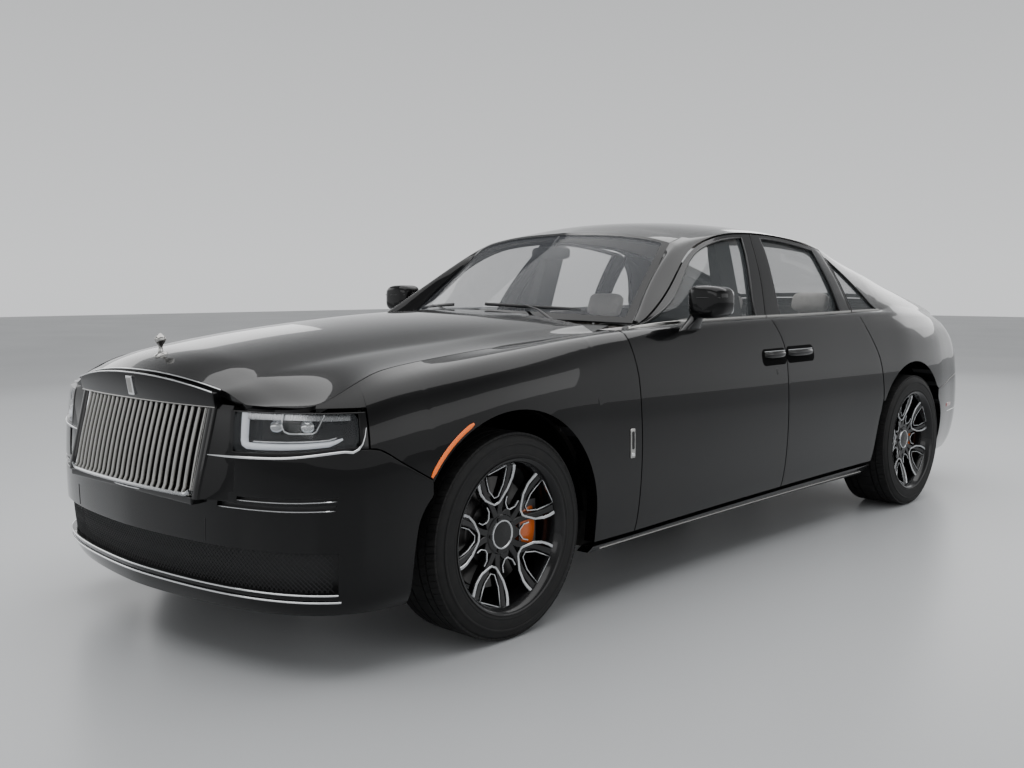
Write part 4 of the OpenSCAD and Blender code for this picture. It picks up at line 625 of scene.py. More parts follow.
def door_grid(edges, columns, inner):
    lows, window = 22, 5
    drawn_in = 14 if inner else 0
    rows = lows + window + 3
    c = np.repeat(np.asarray(columns, float)[:, None], rows, 1)
    r = np.repeat(np.arange(rows)[None], len(columns), 0)

    def across(z):
        lines = np.stack([curve(e, z) for e in edges])
        lines[0] += GAP / 2 + drawn_in
        lines[-1] -= GAP / 2 + drawn_in
        return at_column(lines, c)

    z = np.where(r <= lows, 300 + 800 * r / lows, 1100 + 380 * np.clip((r - lows) / window, 0, 1))
    for _ in range(4):
        y = across(z)
        foot = level(y, curve(door_foot, y) + drawn_in)
        belt, pane, over = side(y, SHOULDER)[..., 2], curve(glass_top, y), curve(door_top, y) - drawn_in * 0.6
        up = np.clip((r - lows) / window, 0, 1)
        past = np.clip((r - lows - window) / 2, 0, 1)
        aim = np.maximum(mix(mix(belt, pane, up), over, past), belt + 2 * (r - lows))
        v = np.where(r <= lows, mix(foot, SHOULDER, np.minimum(r / lows, 1)), level(y, aim, 6.9, CREASE))
        z = side(y, v)[..., 2]
    depth = np.zeros_like(z)
    if inner:
        depth = np.where(r <= lows, 120 - 60 * ease(6, 7, v), mix(36, 13, past))
    return push(side(y, v), y, depth), lows, window


DOORS = {
    "front": ([front_cut, pillar_tip, front_glass_a, front_glass_b, middle_cut],
              [0, .25, .5, .75, 1, 1.5] + list(linspace(2, 3, 20)) + [3.25, 3.5, 3.75, 4], 1, 2, 3),
    "rear": ([middle_cut, rear_glass_a, rear_glass_b, rear_cut],
             [0, .25, .5, .75] + list(linspace(1, 2, 18)) + [2.2, 2.4, 2.6, 2.8, 3], 0, 1, 2)}


def make_door(which, name, right):
    edges, columns, tip, first, last = DOORS[which]
    outer, lows, window = door_grid(edges, columns, False)
    inner = door_grid(edges, columns, True)[0]
    columns = np.asarray(columns)

    def keep(i, j):
        c = (columns[i] + columns[i + 1]) / 2
        return j < lows or (c > tip and (not first < c < last or j >= lows + window))

    def kinds(i, j):
        return (2 if j >= lows else 0, 3 if j >= lows - 2 else 1 if j < lows - 7 else 4)

    body = f"{which}_door_{name}"
    points, faces, _ = shell(outer, inner, keep)
    kind, n = [], outer.shape[1]
    for face in faces:
        inside = min(face) >= outer.shape[0] * n
        j = min(f % n for f in face)
        i = min((f % (outer.shape[0] * n)) // n for f in face)
        kind.append(kinds(i, j)[inside])
    made = mesh(f"{which}_door_skin_{name}", points, faces, [PAINT, HIDE, GLOSS, DASH, WOOD], body, bevel=2.2,
                slot="body_paint", kinds=kind, right=right)
    stands_for(made, f"{which}_door_{name}")
    pick = [i for i, c in enumerate(columns) if first <= c <= last]
    o, q = outer[pick][:, lows:lows + window + 1], inner[pick][:, lows:lows + window + 1]
    pane = mesh(f"{which}_door_window_{name}", *shell(mix(o, q, 14 / 36), mix(o, q, 19 / 36))[:2], GLASS, body,
                slot="window_glass", right=right)
    stands_for(pane, f"{which}_door_glass_{name}")
    # thin dark moulding along the belt, and a rubber line round the glass
    belt = outer[np.arange(len(columns)) >= pick[0] - (2 if which == "front" else 4), lows] + [1.5, 0, 2]
    tube(f"{which}_belt_moulding_{name}", belt, 5.5, DARK, body, flat=(0.6, 1.2), right=right)
    rim = concatenate([outer[pick, lows + window], outer[pick[-1], lows:lows + window][::-1],
                          outer[pick, lows][::-1], outer[pick[0], lows + 1:lows + window]]) - [4, 0, 0]
    tube(f"{which}_glass_seal_{name}", rim, 5, SATIN, body, right=right, closed=True, sides=8)
    return outer, inner, lows


def on_flank(y, z, out=0.0):
    """Point of the side at a place and a height, moved outwards by a distance."""
    v = level(y, z)
    return push(side(y, v), np.asarray(y, float), -out * np.ones_like(np.asarray(y, float)))


def plaque(name, y, z, half_y, half_z, out, material, body, right, round_by=6.0, slot=None):
    """Small raised plate on the flank, with rounded corners."""
    turn = turns(28)
    dy = np.sign(np.cos(turn)) * (half_y - round_by) + np.cos(turn) * round_by
    dz = np.sign(np.sin(turn)) * (half_z - round_by) + np.sin(turn) * round_by
    rings = []
    for k, (share, lift) in enumerate(((1, -3), (1, out * 0.6), (1 - 1.5 / max(half_y, 2), out), (0.5, out))):
        rings.append(on_flank(y + dy * share, z + dz * share, lift))
    points = concatenate(rings + [on_flank(array([y]), array([z]), out)])
    n = len(turn)
    faces = [(k * n + i, k * n + (i + 1) % n, (k + 1) * n + (i + 1) % n, (k + 1) * n + i)
             for k in range(3) for i in range(n)]
    faces += [(3 * n + i, 3 * n + (i + 1) % n, 4 * n) for i in range(n)]
    return mesh(name, points, faces, material, body, smooth=40, slot=slot, right=right)


for name, right in SIDES:
    for which in ("front", "rear"):
        make_door(which, name, right)
    # the two handles meet at the shut line between the doors
    # the handle recesses are raised plates in painted shade black, standing in for the shade inside a recess
    plaque(f"front_handle_recess_painted_shade_{name}", -14.0, 912.0, 110.0, 39.0, 1.2, SHADE_BLACK, f"front_door_{name}", right, 30)
    plaque(f"rear_handle_recess_painted_shade_{name}", 232.0, 916.0, 132.0, 40.0, 1.2, SHADE_BLACK, f"rear_door_{name}", right, 30)
    for which, a, b in (("front", -106, 82), ("rear", 112, 344)):
        y = linspace(a, b, 14)
        bow = np.sin(np.pi * linspace(0, 1, 14)) ** 0.4
        bar = on_flank(y, 922 + 0 * y, 8.0)
        bar[:, 0] += 16 * bow - 6
        tube(f"{which}_door_handle_{name}", bar, 9, GLOSS, f"{which}_door_{name}", flat=(0.8, 1.7), right=right,
             sides=14, taper=0.55 + 0.45 * bow)
        bright = on_flank(y, 938 + 0 * y, 4.0)
        tube(f"{which}_handle_line_{name}", bright, 2.6, BRIGHT, f"{which}_door_{name}", right=right, sides=8)
    plaque(f"lock_cover_{name}", 3.0, 842.0, 7.0, 13.0, 1.5, SATIN, f"front_door_{name}", right, 5)

# ---- front wings and sills


def arch_z(y, axle, r=ARCH_R):
    return TYRE_R + np.sqrt(np.maximum(0, r ** 2 - (y - axle) ** 2))


def wing_grid(inner):
    """Columns run from over the lamp, along the bumper's top, round the arch, to the door."""
    places_low = [(s, 866.0) for s in linspace(-2690, -2449, 9)]
    places_low += [(s, None) for s in linspace(-2447.5, -2192, 11)]
    places_low += [(FRONT_AXLE + ARCH_R * cos(radians(a)), "arch") for a in linspace(147, 0, 34)]
    places_low += [(s, 268.0) for s in linspace(FRONT_AXLE + ARCH_R + 12, -1088, 9)]
    rows, points = 18, []
    for s, low in places_low:
        low = arch_z(s, FRONT_AXLE) if low == "arch" else curve(bumper_top_front, s) + 4 if low is None else low
        t = linspace(0, 1, rows)
        lean = ease(-1340, -1088, s)
        at, v = np.full(rows, s), None
        for _ in range(4):
            v = mix(level(at, np.full(rows, float(low))), SHOULDER, t)
            z = side(at, v)[..., 2]
            at = s + lean * (curve(front_cut, z) + 1085)
        p = side(at, v)
        if inner:
            far = np.linalg.norm(p - side(at, SHOULDER), axis=-1)
            p = push(p, at, np.minimum(50, 1 + 0.5 * far))
            p[-1, 2] -= 26
        points.append(p)
    return array(points)


for name, right in SIDES:
    wing = panel(f"front_wing_skin_{name}", wing_grid(False), wing_grid(True), "body", right=right)
    stands_for(wing, f"front_wing_{name}")
    # upright plate between the wheel and the door, without any marks
    plaque(f"wing_plate_{name}", -1148.0, 630.0, 15.0, 58.0, 4.0, DARK, "body", right, 5)
    plaque(f"wing_plate_field_{name}", -1148.0, 642.0, 9.0, 38.0, 5.2, GLOSS, "body", right, 4)
    plaque(f"wing_plate_foot_{name}", -1148.0, 586.0, 9.0, 7.0, 5.6, BRIGHT, "body", right, 3)
    # amber marker lying along the arch
    turn = np.radians(linspace(146, 116, 14))
    y = FRONT_AXLE + (ARCH_R + 16) * np.cos(turn)
    z = TYRE_R + (ARCH_R + 16) * np.sin(turn)
    marker = on_flank(y, z, 1.5)
    tube(f"side_marker_{name}", marker, 7.5, AMBER, "body", flat=(0.5, 1.1), right=right, slot="lamp_lens",
         taper=np.minimum(1, 0.35 + 3 * np.sin(np.pi * linspace(0.02, 0.98, 14))))

# liners inside the wheel arches: black as real liners are, with their reflection turned down as painted shade
for name, right in SIDES:
    for end, axle in (("front", FRONT_AXLE), ("rear", REAR_AXLE)):
        turn = np.radians(linspace(178, 2, 45))
        xs = array([600.0, 700, 800, 900])
        arc = array([[(x, axle + r * np.cos(a), TYRE_R + r * np.sin(a)) for a in turn]
                        for x, r in zip(xs, ARCH_R - array([14.0, 6, 2, 0]))])
        out = arc + array([[(0, 3 * np.cos(a), 3 * np.sin(a)) for a in turn]] * len(xs))
        panel(f"{end}_arch_liner_{name}", arc[:, ::-1], out[:, ::-1], "body", materials=[SHADE_BLACK, SHADE_BLACK], right=right,
              slot="black_plastic")

sill_y = linspace(FRONT_AXLE + ARCH_R + 14, REAR_AXLE - ARCH_R - 14, 40)
sill = []
for depth in (0, 55):
    top = level(sill_y, curve(door_foot, sill_y) - 20)
    v = top[:, None] * linspace(0, 1, 8)
    s = np.repeat(sill_y[:, None], 8, 1)
    sill.append(push(side(s, v), s, np.full(s.shape, depth)))
for name, right in SIDES:
    rocker = panel(f"sill_skin_{name}", sill[0], sill[1], "body", right=right)
    stands_for(rocker, "rocker_panels")
    line = side(sill_y[1:-1], 0.25)
    tube(f"sill_line_{name}", line + [1.5, 0, 0], 3.2, DARK, "body", right=right, sides=8)

# ---- quarter panels and roof rails

quarter_low = array([1150, 1220, 1300, 1390, 1487, 1600, 1720, 1868, 1945, 2100, 2250, 2400, 2550,
                        2600, 2690, 2780, 2830], float)
quarter_up = array([956, 1100, 1237, 1330, 1487, 1600, 1720, 1868, 1945, 2100, 2250, 2400, 2550,
                       2600, 2690, 2780, 2830], float)
rail_depth = knots((-930, 6), (-860, 9), (-700, 28), (-400, 30), (-250, 14), (-150, 9), (900, 9), (960, 30),
                  (1060, 42), (2550, 42), (2690, 34), (2830, 22))
pillar_depth = knots((-930, 12), (-860, 16), (-700, 42), (2550, 42), (2690, 34), (2830, 22))
side_rows = array([0, .33, .66, 1, 1.33, 1.66, 2, 2.33, 2.66, 3, 3.33, 3.66, 4, 4.33, 4.66, 5, 5.33, 5.66, 6,
                      6.33, 6.66, 7, 7.5, 8, 8.5, 9, 9.3, 9.6, 9.8, 10, 10.2, 10.4, 10.7, 11])


def column_place(i, z):
    """Place along the flank of column i at height z. Column -1 is the door's shut line."""
    if i < 0:
        cut = curve(rear_cut, z) + GAP / 2 + 1
        return mix(cut, column_place(0, z), i + 1)
    k = min(int(i), len(quarter_low) - 2)
    ends = []
    for n in (k, k + 1):
        low, up = quarter_low[n], quarter_up[n]
        ends.append(curve(knots((300, low), (860, mix(low, up, 0.15)), (1036, mix(low, up, 0.9)),
                                (1100, up), (1500, up)), z))
    return mix(ends[0], ends[1], i - k)


def quarter_heights(s, foot):
    even = mix(foot, 1010, np.arange(6) / 5)
    lamp = array([foot, mix(foot, 722, 0.5), 722, 820, 925, 965])
    return mix(even, lamp, np.clip((s - 1950) / 400, 0, 1))


def row_level(s, r, foot):
    """Level at place s of row r."""
    belt = side(s, SHOULDER)[2]
    share = mix(array([0.3, 0.55, 0.8]), array([0.25, 0.5, 0.75]), ease(2400, 2540, s))
    if r < 5:
        k = min(int(r), 4)
        a, b = (level(s, quarter_heights(s, foot)[n]) for n in (k, k + 1))
        return float(mix(a, b, r - k))
    if r <= 6:
        return float(mix(level(s, quarter_heights(s, foot)[5]), SHOULDER, r - 5))
    top, over = curve(glass_top, s), curve(door_top, s) + (GAP * 1.2 if s < 945 else 0)
    late = np.clip((s - 1245) / 250, 0, 1)
    stops = [SHOULDER]
    for n, z in enumerate((mix(belt, top, 0.5), top, over)):
        stops.append(float(mix(level(s, max(z, belt + 4 * (n + 1)), 6.9, CREASE), SHOULDER + share[n], late)))
    return float(np.interp(r, [6, 7, 8, 9, 10], stops + [CREASE]))


def side_column(place_at, foot_place):
    foot = curve(bumper_top_rear, foot_place) + 4 if foot_place >= 1868 else \
        max(float(arch_z(foot_place, REAR_AXLE)), 622.0)
    outer, inner = [], []
    for r in side_rows:
        z = 1300.0 if r > 6 else mix(622.0, 1090.0, r / 6)
        for _ in range(4):
            s = float(place_at(z))
            v = row_level(s, min(r, 10), foot)
            z = float(side(s, v)[2])
        p, edge = side(s, v), ditch(s)
        late = np.clip((s - 1245) / 250, 0, 1)
        tail = np.clip((s - 2250) / 200, 0, 1)
        if r < 6:
            q = push(p, s, 110)
        elif r <= 6:
            q = push(p, s, 55 * (1 - tail)) - [0, 0, tail * curve(pillar_depth, s)]
        elif s > 2540:
            q = p - [0, 0, float(curve(pillar_depth, s))]
        elif r < 9:
            q = push(p, s, mix(36, 92, late) * (1 - 0.2 * (r - 6) / 3))
        else:
            q = push(p, s, mix(12 if s < 945 else 36, 60, late) * max(0, 10 - r)) - \
                [0, 0, float(curve(rail_depth, s)) * min(1, r - 9)]
        if r > 10:
            p, q = mix(p, edge, r - 10), mix(q, edge - [0, 0, float(curve(pillar_depth, s))], r - 10)
        outer.append(p)
        inner.append(q)
    outer = array(outer)
    # round the crease between the side and the roof
    near = np.abs(side_rows - 10) < 0.65
    a, c, b = outer[side_rows == 9.6][0], outer[side_rows == 10][0], outer[side_rows == 10.4][0]
    for n in np.flatnonzero(near):
        t = np.clip((side_rows[n] - 9.6) / 0.8, 0, 1)
        if 0 < t < 1:
            outer[n] = a * (1 - t) ** 2 + 2 * c * t * (1 - t) + b * t ** 2
    return outer, array(inner)


front_places = list(linspace(-900, 800, 35))
quarter_i = concatenate([linspace(-1, 8, 37), linspace(8.5, 16, 16)])
side_columns = [side_column(lambda z, y=y: y, 1868.0) for y in front_places]
side_columns += [side_column(lambda z, i=i: column_place(i, z), float(column_place(i, 622.0))) for i in quarter_i]
side_outer = array([c[0] for c in side_columns])
side_inner = array([c[1] for c in side_columns])
side_i = concatenate([linspace(-40, -2, 35), quarter_i])


def side_keep(i, j):
    a, r = (side_i[i] + side_i[i + 1]) / 2, (side_rows[j] + side_rows[j + 1]) / 2
    if a < -1:
        return r > 9
    if 0 < a < 2 and 6 < r < 8:
        return False
    return not (12 < a < 15 and 2 < r < 4)


def part_of(grid, i0, i1, r0, r1):
    i = np.flatnonzero((side_i >= i0) & (side_i <= i1))
    j = np.flatnonzero((side_rows >= r0) & (side_rows <= r1))
    return grid[np.ix_(i, j)]


def drawn_in(grid, d):
    """Grid of points whose border is drawn in by d."""
    out = array(grid)
    out[0] += unit(grid[1] - grid[0]) * d
    out[-1] += unit(grid[-2] - grid[-1]) * d
    out[:, 0] += unit(grid[:, 1] - grid[:, 0]) * d
    out[:, -1] += unit(grid[:, -2] - grid[:, -1]) * d
    return out


def border(grid):
    return concatenate([grid[:-1, 0], grid[-1, :-1], grid[:0:-1, -1], grid[0, :0:-1]])


for name, right in SIDES:
    made = panel(f"body_side_skin_{name}", side_outer, side_inner, "body", side_keep, right=right)
    stands_for(made, f"body_side_{name}")
    o, q = part_of(side_outer, 0, 2, 6, 8), part_of(side_inner, 0, 2, 6, 8)
    pane = mesh(f"quarter_window_{name}", *shell(drawn_in(mix(o, q, 0.3), 1), drawn_in(mix(o, q, 0.5), 1))[:2],
                GLASS, "body", slot="window_glass", right=right)
    stands_for(pane, "quarter_windows")
    tube(f"quarter_seal_{name}", border(o) - [3, 0, 0], 5, SATIN, "body", right=right, closed=True, sides=8)
    belt = part_of(side_outer, -0.75, 2.3, 6, 6)[:, 0] + [1.5, 0, 2]
    tube(f"quarter_belt_moulding_{name}", belt, 5.5, DARK, "body", flat=(0.6, 1.2), right=right)
    # rear lamp: dark tray, red lens with two upright light bars
    o, q = part_of(side_outer, 12, 15, 2, 4), part_of(side_inner, 12, 15, 2, 4)
    panel(f"rear_lamp_tray_{name}", drawn_in(mix(o, q, 0.3), 1), drawn_in(mix(o, q, 0.6), 1), "body",
          materials=[GLOSS, SATIN], bevel=0, right=right, slot="black_plastic")
    lens = panel(f"rear_lamp_lens_{name}", drawn_in(mix(o, q, 0.012), 2), drawn_in(mix(o, q, 0.06), 2), "body",
                 materials=[RED, RED], bevel=2, right=right, slot="tail_lens")
    stands_for(lens, "tail_lights")
    tube(f"rear_lamp_frame_{name}", border(drawn_in(o, 1)), 3, BRIGHT, "body", closed=True, right=right, sides=8)
    for k, share in enumerate((0.3, 0.7)):
        at = int(share * (o.shape[0] - 1))
        tube(f"rear_light_bar_{k}_{name}", o[at, 1:-1] + [0.0, 1.0, 0.0], 5, GUIDE, "body", flat=(1, 0.5),
             right=right, sides=8)

# ---- bumpers

front_end = knots((200, -2264), (370, -2262), (480, -2246), (560, -2216), (620, -2186))
rear_end = knots((200, 1952), (370, 1950), (480, 1934), (560, 1905), (630, 1862))
FRONT_Z = concatenate([[0, 232, 260], linspace(288, 418, 8), [438, 459, 480, 500, 522, 543, 560, 568, 580, 592],
                          linspace(610, 700, 6)])
FRONT_C = concatenate([linspace(0, 0.28, 9), linspace(0.31, 0.64, 16), [0.655, 0.68, 0.70],
                          linspace(0.725, 1, 13)])
REAR_Z = concatenate([[0], linspace(262, 480, 11), linspace(500, 700, 11)])
REAR_C = linspace(0, 1, 44)


def bumper_place(c, z, end, tip, cap):
    return mix(curve(end, min(z, cap)), tip, c)


def bumper_height(s, z, top):
    return z if z <= 480 else mix(480, float(curve(top, s)) - (0.5 if s < 0 else 4 * (s > 2830)), (z - 480) / 220)


def bumper_point(c, z, front, depth=0.0):
    s = bumper_place(c, z, *((front_end, -TIP, 620) if front else (rear_end, TIP, 628)))
    v = 0.0 if z == 0 else level(s, bumper_height(s, z, bumper_top_front if front else bumper_top_rear))
    return push(side(s, v), s, depth)


def bumper_half(front, depth):
    zs, cs = (FRONT_Z, FRONT_C) if front else (REAR_Z, REAR_C)
    return array([[bumper_point(c, z, front, depth) for z in zs] for c in cs[::-1]])


INTAKE = (288, 418)
SLOT_A, SLOT_B = (543, 560), (568, 580)


def front_keep(i, j):
    m = len(FRONT_C) - 1
    c = (FRONT_C[::-1][abs(i - m)] + FRONT_C[::-1][abs(i - m) + (1 if i >= m else -1)]) / 2
    z = (FRONT_Z[j] + FRONT_Z[j + 1]) / 2
    if c > 0.655 and z > 592:
        return False
    if c > 0.28 and INTAKE[0] < z < INTAKE[1]:
        return False
    return not (0.31 < c < 0.7 and SLOT_A[0] < z < SLOT_A[1] or 0.31 < c < 0.64 and SLOT_B[0] < z < SLOT_B[1])


half, back = bumper_half(True, 0), bumper_half(True, 60)
made = panel("front_bumper_skin", both(half), both(back), "body", front_keep, [PAINT, SATIN], slot="body_paint")
stands_for(made, "front_bumper")
made = panel("rear_bumper_skin", both(bumper_half(False, 0)), both(bumper_half(False, 60)), "body",
             materials=[PAINT, SATIN])
stands_for(made, "rear_bumper")


def round_the_nose(name, z, out, radius, material, c_from=0.52, flat=(1, 1), front=True, slot=None):
    """Rod that follows the bumper from one side to the other at a height."""
    cs = linspace(c_from, 1, 40)
    line = both_from_side(array([bumper_point(c, z, front, -out) for c in cs]))
    return tube(name, line, radius, material, "body", flat=flat, sides=10, slot=slot)


# dark walls behind the intake and the slots, with a mesh of slanting wires in front
for name, low, high, c_low, c_high, depth in (("intake", 282, 424, 0.26, 1, 52), ("slot", 536, 588, 0.29, 0.72, 20)):
    cs = linspace(c_low, c_high, 26)
    wall = [array([[bumper_point(c, z, True, depth + d) for z in linspace(low, high, 5)] for c in cs[::-1]])
            for d in (0, 4)]
    if name == "intake":
        panel("intake_wall", both(wall[0]), both(wall[1]), "body", materials=[SATIN], bevel=0)
    else:
        for label, right in SIDES:
            panel(f"slot_wall_{label}", wall[0], wall[1], "body", materials=[SATIN], bevel=0, right=right)


def wire_net(name, c_low, c_high, low, high, depth, pitch, body):
    """Flat wires crossing on the slant, lying on the bumper's curve."""
    along, tall = linspace(c_low, c_high, 60), linspace(low, high, 9)
    sheet = array([[bumper_point(c, z, True, depth) for z in tall] for c in along])
    sheet = both_from_side(sheet)
    length = concatenate([[0], np.cumsum(np.linalg.norm(np.diff(sheet[:, 4], axis=0), axis=1))])
    points, faces = [], []

    def at(u, w):
        x = np.interp(u, length, np.arange(len(length)))
        i, j = min(int(x), len(sheet) - 2), min(int(w * 8), 7)
        a, b = x - i, w * 8 - j
        return mix(mix(sheet[i, j], sheet[i + 1, j], a), mix(sheet[i, j + 1], sheet[i + 1, j + 1], a), b)

    rise_by, u = high - low, -(high - low)
    while u < length[-1]:
        for lean in (1, -1):
            run = array([(u + rise_by * w if lean > 0 else u + rise_by * (1 - w), w) for w in linspace(0, 1, 7)])
            run = run[(run[:, 0] >= 0) & (run[:, 0] <= length[-1])]
            if len(run) < 2:
                continue
            start = len(points)
            for uu, w in run:
                p = at(uu, w)
                points.extend([p + [0, -1, 1.4], p + [0, 1, 1.4], p + [0, 1, -1.4], p + [0, -1, -1.4]])
            for k in range(len(run) - 1):
                for e in range(4):
                    a, b = start + 4 * k + e, start + 4 * k + (e + 1) % 4
                    faces.append((a, b, b + 4, a + 4))
        u += pitch
    return mesh(name, points, faces, MESH, body, slot="black_plastic")


wire_net("intake_mesh", 0.285, 1, 290, 416, 20, 17, "body")
round_the_nose("intake_lip_upper", 285, 2, 3.4, BRIGHT, 0.28, slot="bright_metal")
round_the_nose("intake_lip_lower", 262, 5, 3.6, BRIGHT, 0.27, slot="bright_metal")
for label, right in SIDES:
    for k, (z, c_in) in enumerate(((SLOT_A[0], 0.7), (SLOT_B[0], 0.64))):
        cs = linspace(0.31, c_in, 24)
        blade = array([bumper_point(c, z + 1, True, 2) for c in cs])
        fine = np.minimum(1, 0.25 + 6 * np.minimum(cs - cs[0], cs[-1] - cs) / 0.1)
        tube(f"slot_line_{k}_{label}", blade, 1.8, BRIGHT, "body", right=right, sides=6, taper=fine)
    seam = array([bumper_point(0.735, z, True, -0.2) for z in linspace(425, 500, 8)])
    tube(f"bumper_seam_{label}", seam, 1.3, SATIN, "body", right=right, sides=6)
    plaque(f"side_reflector_{label}", 2120.0, 520.0, 60.0, 11.0, 2.0, RED, "body", right, 5)
round_the_nose("rear_bumper_line", 480, 1, 2.5, BRIGHT, 0.1, front=False)

# ---- bonnet

bonnet_side = knots((0, -3010), (0.1, -2800), (0.2, -2640), (0.3, -2480), (0.42, -2250), (0.6, -1850),
                   (0.8, -1455), (1, -1132))
bonnet_crease = knots((0, (463, -2660, 908)), (0.1, (478, -2580, 938)), (0.2, (493, -2490, 963)),
                      (0.4, (518, -2200, 1000)), (0.6, (550, -1850, 1032)), (0.8, (610, -1470, 1066)),
                      (1, (690, -1128, 1085)))
bonnet_middle = knots((0, (0, -2700, 951)), (0.1, (0, -2610, 998)), (0.2, (0, -2500, 1028)),
                      (0.4, (0, -2200, 1072)), (0.6, (0, -1870, 1103)), (0.8, (0, -1500, 1126)),
                      (1, (0, -1132, 1136)))


def bonnet_point(u, w, gap=8.0):
    c, b = curve(bonnet_middle, u), curve(bonnet_crease, u)
    if w <= 1:
        return array([mix(c[0], b[0], w), mix(c[1], b[1], w ** 2), mix(c[2], b[2], w ** 2.2)])
    s = float(curve(bonnet_side, u))
    a = push(side(s, SHOULDER), s, gap)
    t = w - 1
    return array([mix(b[0], a[0], t), mix(b[1], a[1], t), mix(b[2], a[2], 0.4 * t + 0.6 * t * t * (3 - 2 * t))])


def bonnet_half(e, thick):
    us = mix(0.012 + e / 400, 1 - e / 400, linspace(0, 1, 70))
    ws = concatenate([linspace(0, 1, 16), linspace(1, 2, 15)[1:]])
    half = array([[bonnet_point(u, min(w, 2 - e / 30)) for u in us] for w in ws])
    # soften the crease that runs from the grille's corner to the pillar
    for k in range(3):
        soft = (half[12:19] + half[13:20] + half[14:21]) / 3
        half[13:20] = mix(half[13:20], soft, 0.45)
    half[..., 2] -= np.where(np.arange(len(ws)) == len(ws) - 1, thick / 2, thick)[:, None]
    return half


made = panel("bonnet_skin", both(bonnet_half(0, 0)), both(bonnet_half(4, 30)), "bonnet", materials=[PAINT, SATIN])
stands_for(made, "bonnet")
edge = array([bonnet_point(0.012, w) for w in linspace(0, 1.0, 24)]) + [0, -1.5, -1]
tube("bonnet_front_line", both(edge), 2.4, BRIGHT, "bonnet", sides=8, slot="bright_metal")

# plain drop-shaped ornament on a round foot
foot = bonnet_point(0.1108, 0)
lean = bonnet_point(0.2, 0) - bonnet_point(0.06, 0)
tilt = atan2(lean[2], lean[1])


def ornament(profile, name, material, tilted=True, squash=(1, 1, 1)):
    """A turned piece that stands on the bonnet's ridge, square to it where tilted."""
    points, faces = turned(profile, 40)
    points = np.stack([points[:, 1] * squash[0], points[:, 2] * squash[1], points[:, 0] * squash[2]], -1)
    if tilted:
        c, s = cos(tilt), sin(tilt)
        points = points @ array([[1, 0, 0], [0, c, s], [0, -s, c]])
    return mesh(name, points + foot, faces, material, "bonnet", smooth=50, slot="bright_metal")


stands_for(ornament([(-3, 0.1), (-3, 25), (1.5, 25), (4.5, 22), (5, 17), (7, 15.5), (7.4, 0.1)],
                    "ornament_foot", DARK), "bonnet_ornament")
ornament([(2, 0.1), (2, 11), (8, 9), (16, 6.5), (26, 6), (34, 8), (44, 14), (52, 17), (60, 15.5), (67, 10),
          (72, 5), (75.5, 0.1)], "ornament_drop", DARK, tilted=False, squash=(0.9, 1.25, 1))

# ---- boot lid

boot_s = array([2150, 2250, 2400, 2550, 2690, 2830], float)
boot_gap = array([[6, 0], [6, 0], [6, 0], [10, 5], [10, 5], [16, -2]], float)


def boot_rim(i, e):
    s = mix(TIP, 2850, i / 5) + e * i / 5
    return side(s, SHOULDER), s


def boot_deck_edge(j, e):
    if j >= 6:
        return boot_rim(5, e)[0]
    if j > 5:
        return mix(boot_deck_edge(5, e), boot_rim(5, e)[0], j - 5)
    s = np.interp(j, range(6), boot_s)
    gap = array([np.interp(j, range(6), boot_gap[:, k]) for k in (0, 1)])
    return ditch(s) - [gap[0] + e, gap[1], 0]


def boot_half(depth, e):
    ii, jj = linspace(0, 5, 22), linspace(0, 6, 28)
    edge = array([boot_deck_edge(j, e) for j in jj])
    rim = array([boot_rim(i, e)[0] for i in ii])
    x = edge[0, 0] * ii / 5
    y = np.full_like(x, edge[0, 1] + e)
    front = np.stack([x, y, top_z(x, y)], -1)
    ym = mix(front[0, 1], rim[0, 1], jj / 6)
    middle = np.stack([0 * ym, ym, mix(top_z(0 * ym, ym), rim[0, 2], (jj / 6) ** 3)], -1)
    u, v = (ii / 5)[:, None, None], (jj / 6)[None, :, None]
    deck = mix(front[:, None], rim[:, None], v) + mix(middle[None], edge[None], u) \
        - mix(mix(front[0], front[-1], u), mix(rim[0], rim[-1], u), v)
    deck[..., 1] -= depth * jj / 9
    deck[..., 2] -= depth
    face = []
    for i in ii:
        s = boot_rim(i, e)[1]
        z = concatenate([linspace(1012, 760, 12), linspace(740, 700 + e, 3)])
        face.append(push(side(s, level(s, z)), s, np.full(15, depth)))
    return concatenate([deck, array(face)], 1)


made = panel("boot_lid_skin", both(boot_half(0, 0)), both(boot_half(30, 14)), "boot_lid", materials=[PAINT, SATIN])
stands_for(made, "boot_lid")
strip = array([push(side(s, level(s, 728.0)), s, -2.0) for s in linspace(2900, TIP, 20)])
tube("boot_chrome_strip", both_from_side(strip), 5, BRIGHT, "boot_lid", flat=(0.7, 1.3), sides=10, slot="bright_metal")

# ---- windscreen, roof and rear window

header = knots((0, (0, -430, 1500)), (0.5, (300, -418, 1488)), (0.85, (510, -402, 1462)), (1, tuple(ditch(-400.0))))
scuttle = knots((0, (0, -1080, 1114)), (0.35, (250, -1040, 1106)), (0.65, (460, -955, 1096)),
                (0.88, (630, -862, 1088)), (1, tuple(ditch(-930.0))))
screen_side = knots((0, -930), (0.31, -760), (0.57, -620), (0.85, -480), (1, -400))


def screen_point(u, v):
    own = mix(curve(scuttle, u), curve(header, u), v) + [0, 0, 10 * sin(pi * v)]
    end = mix(curve(scuttle, 1), curve(header, 1), v) + [0, 0, 10 * sin(pi * v)]
    edge = ditch(float(curve(screen_side, v))) - [0.5, 0, 0]
    return own + (edge - end) * max(0, (u - 0.75) / 0.25) ** 2


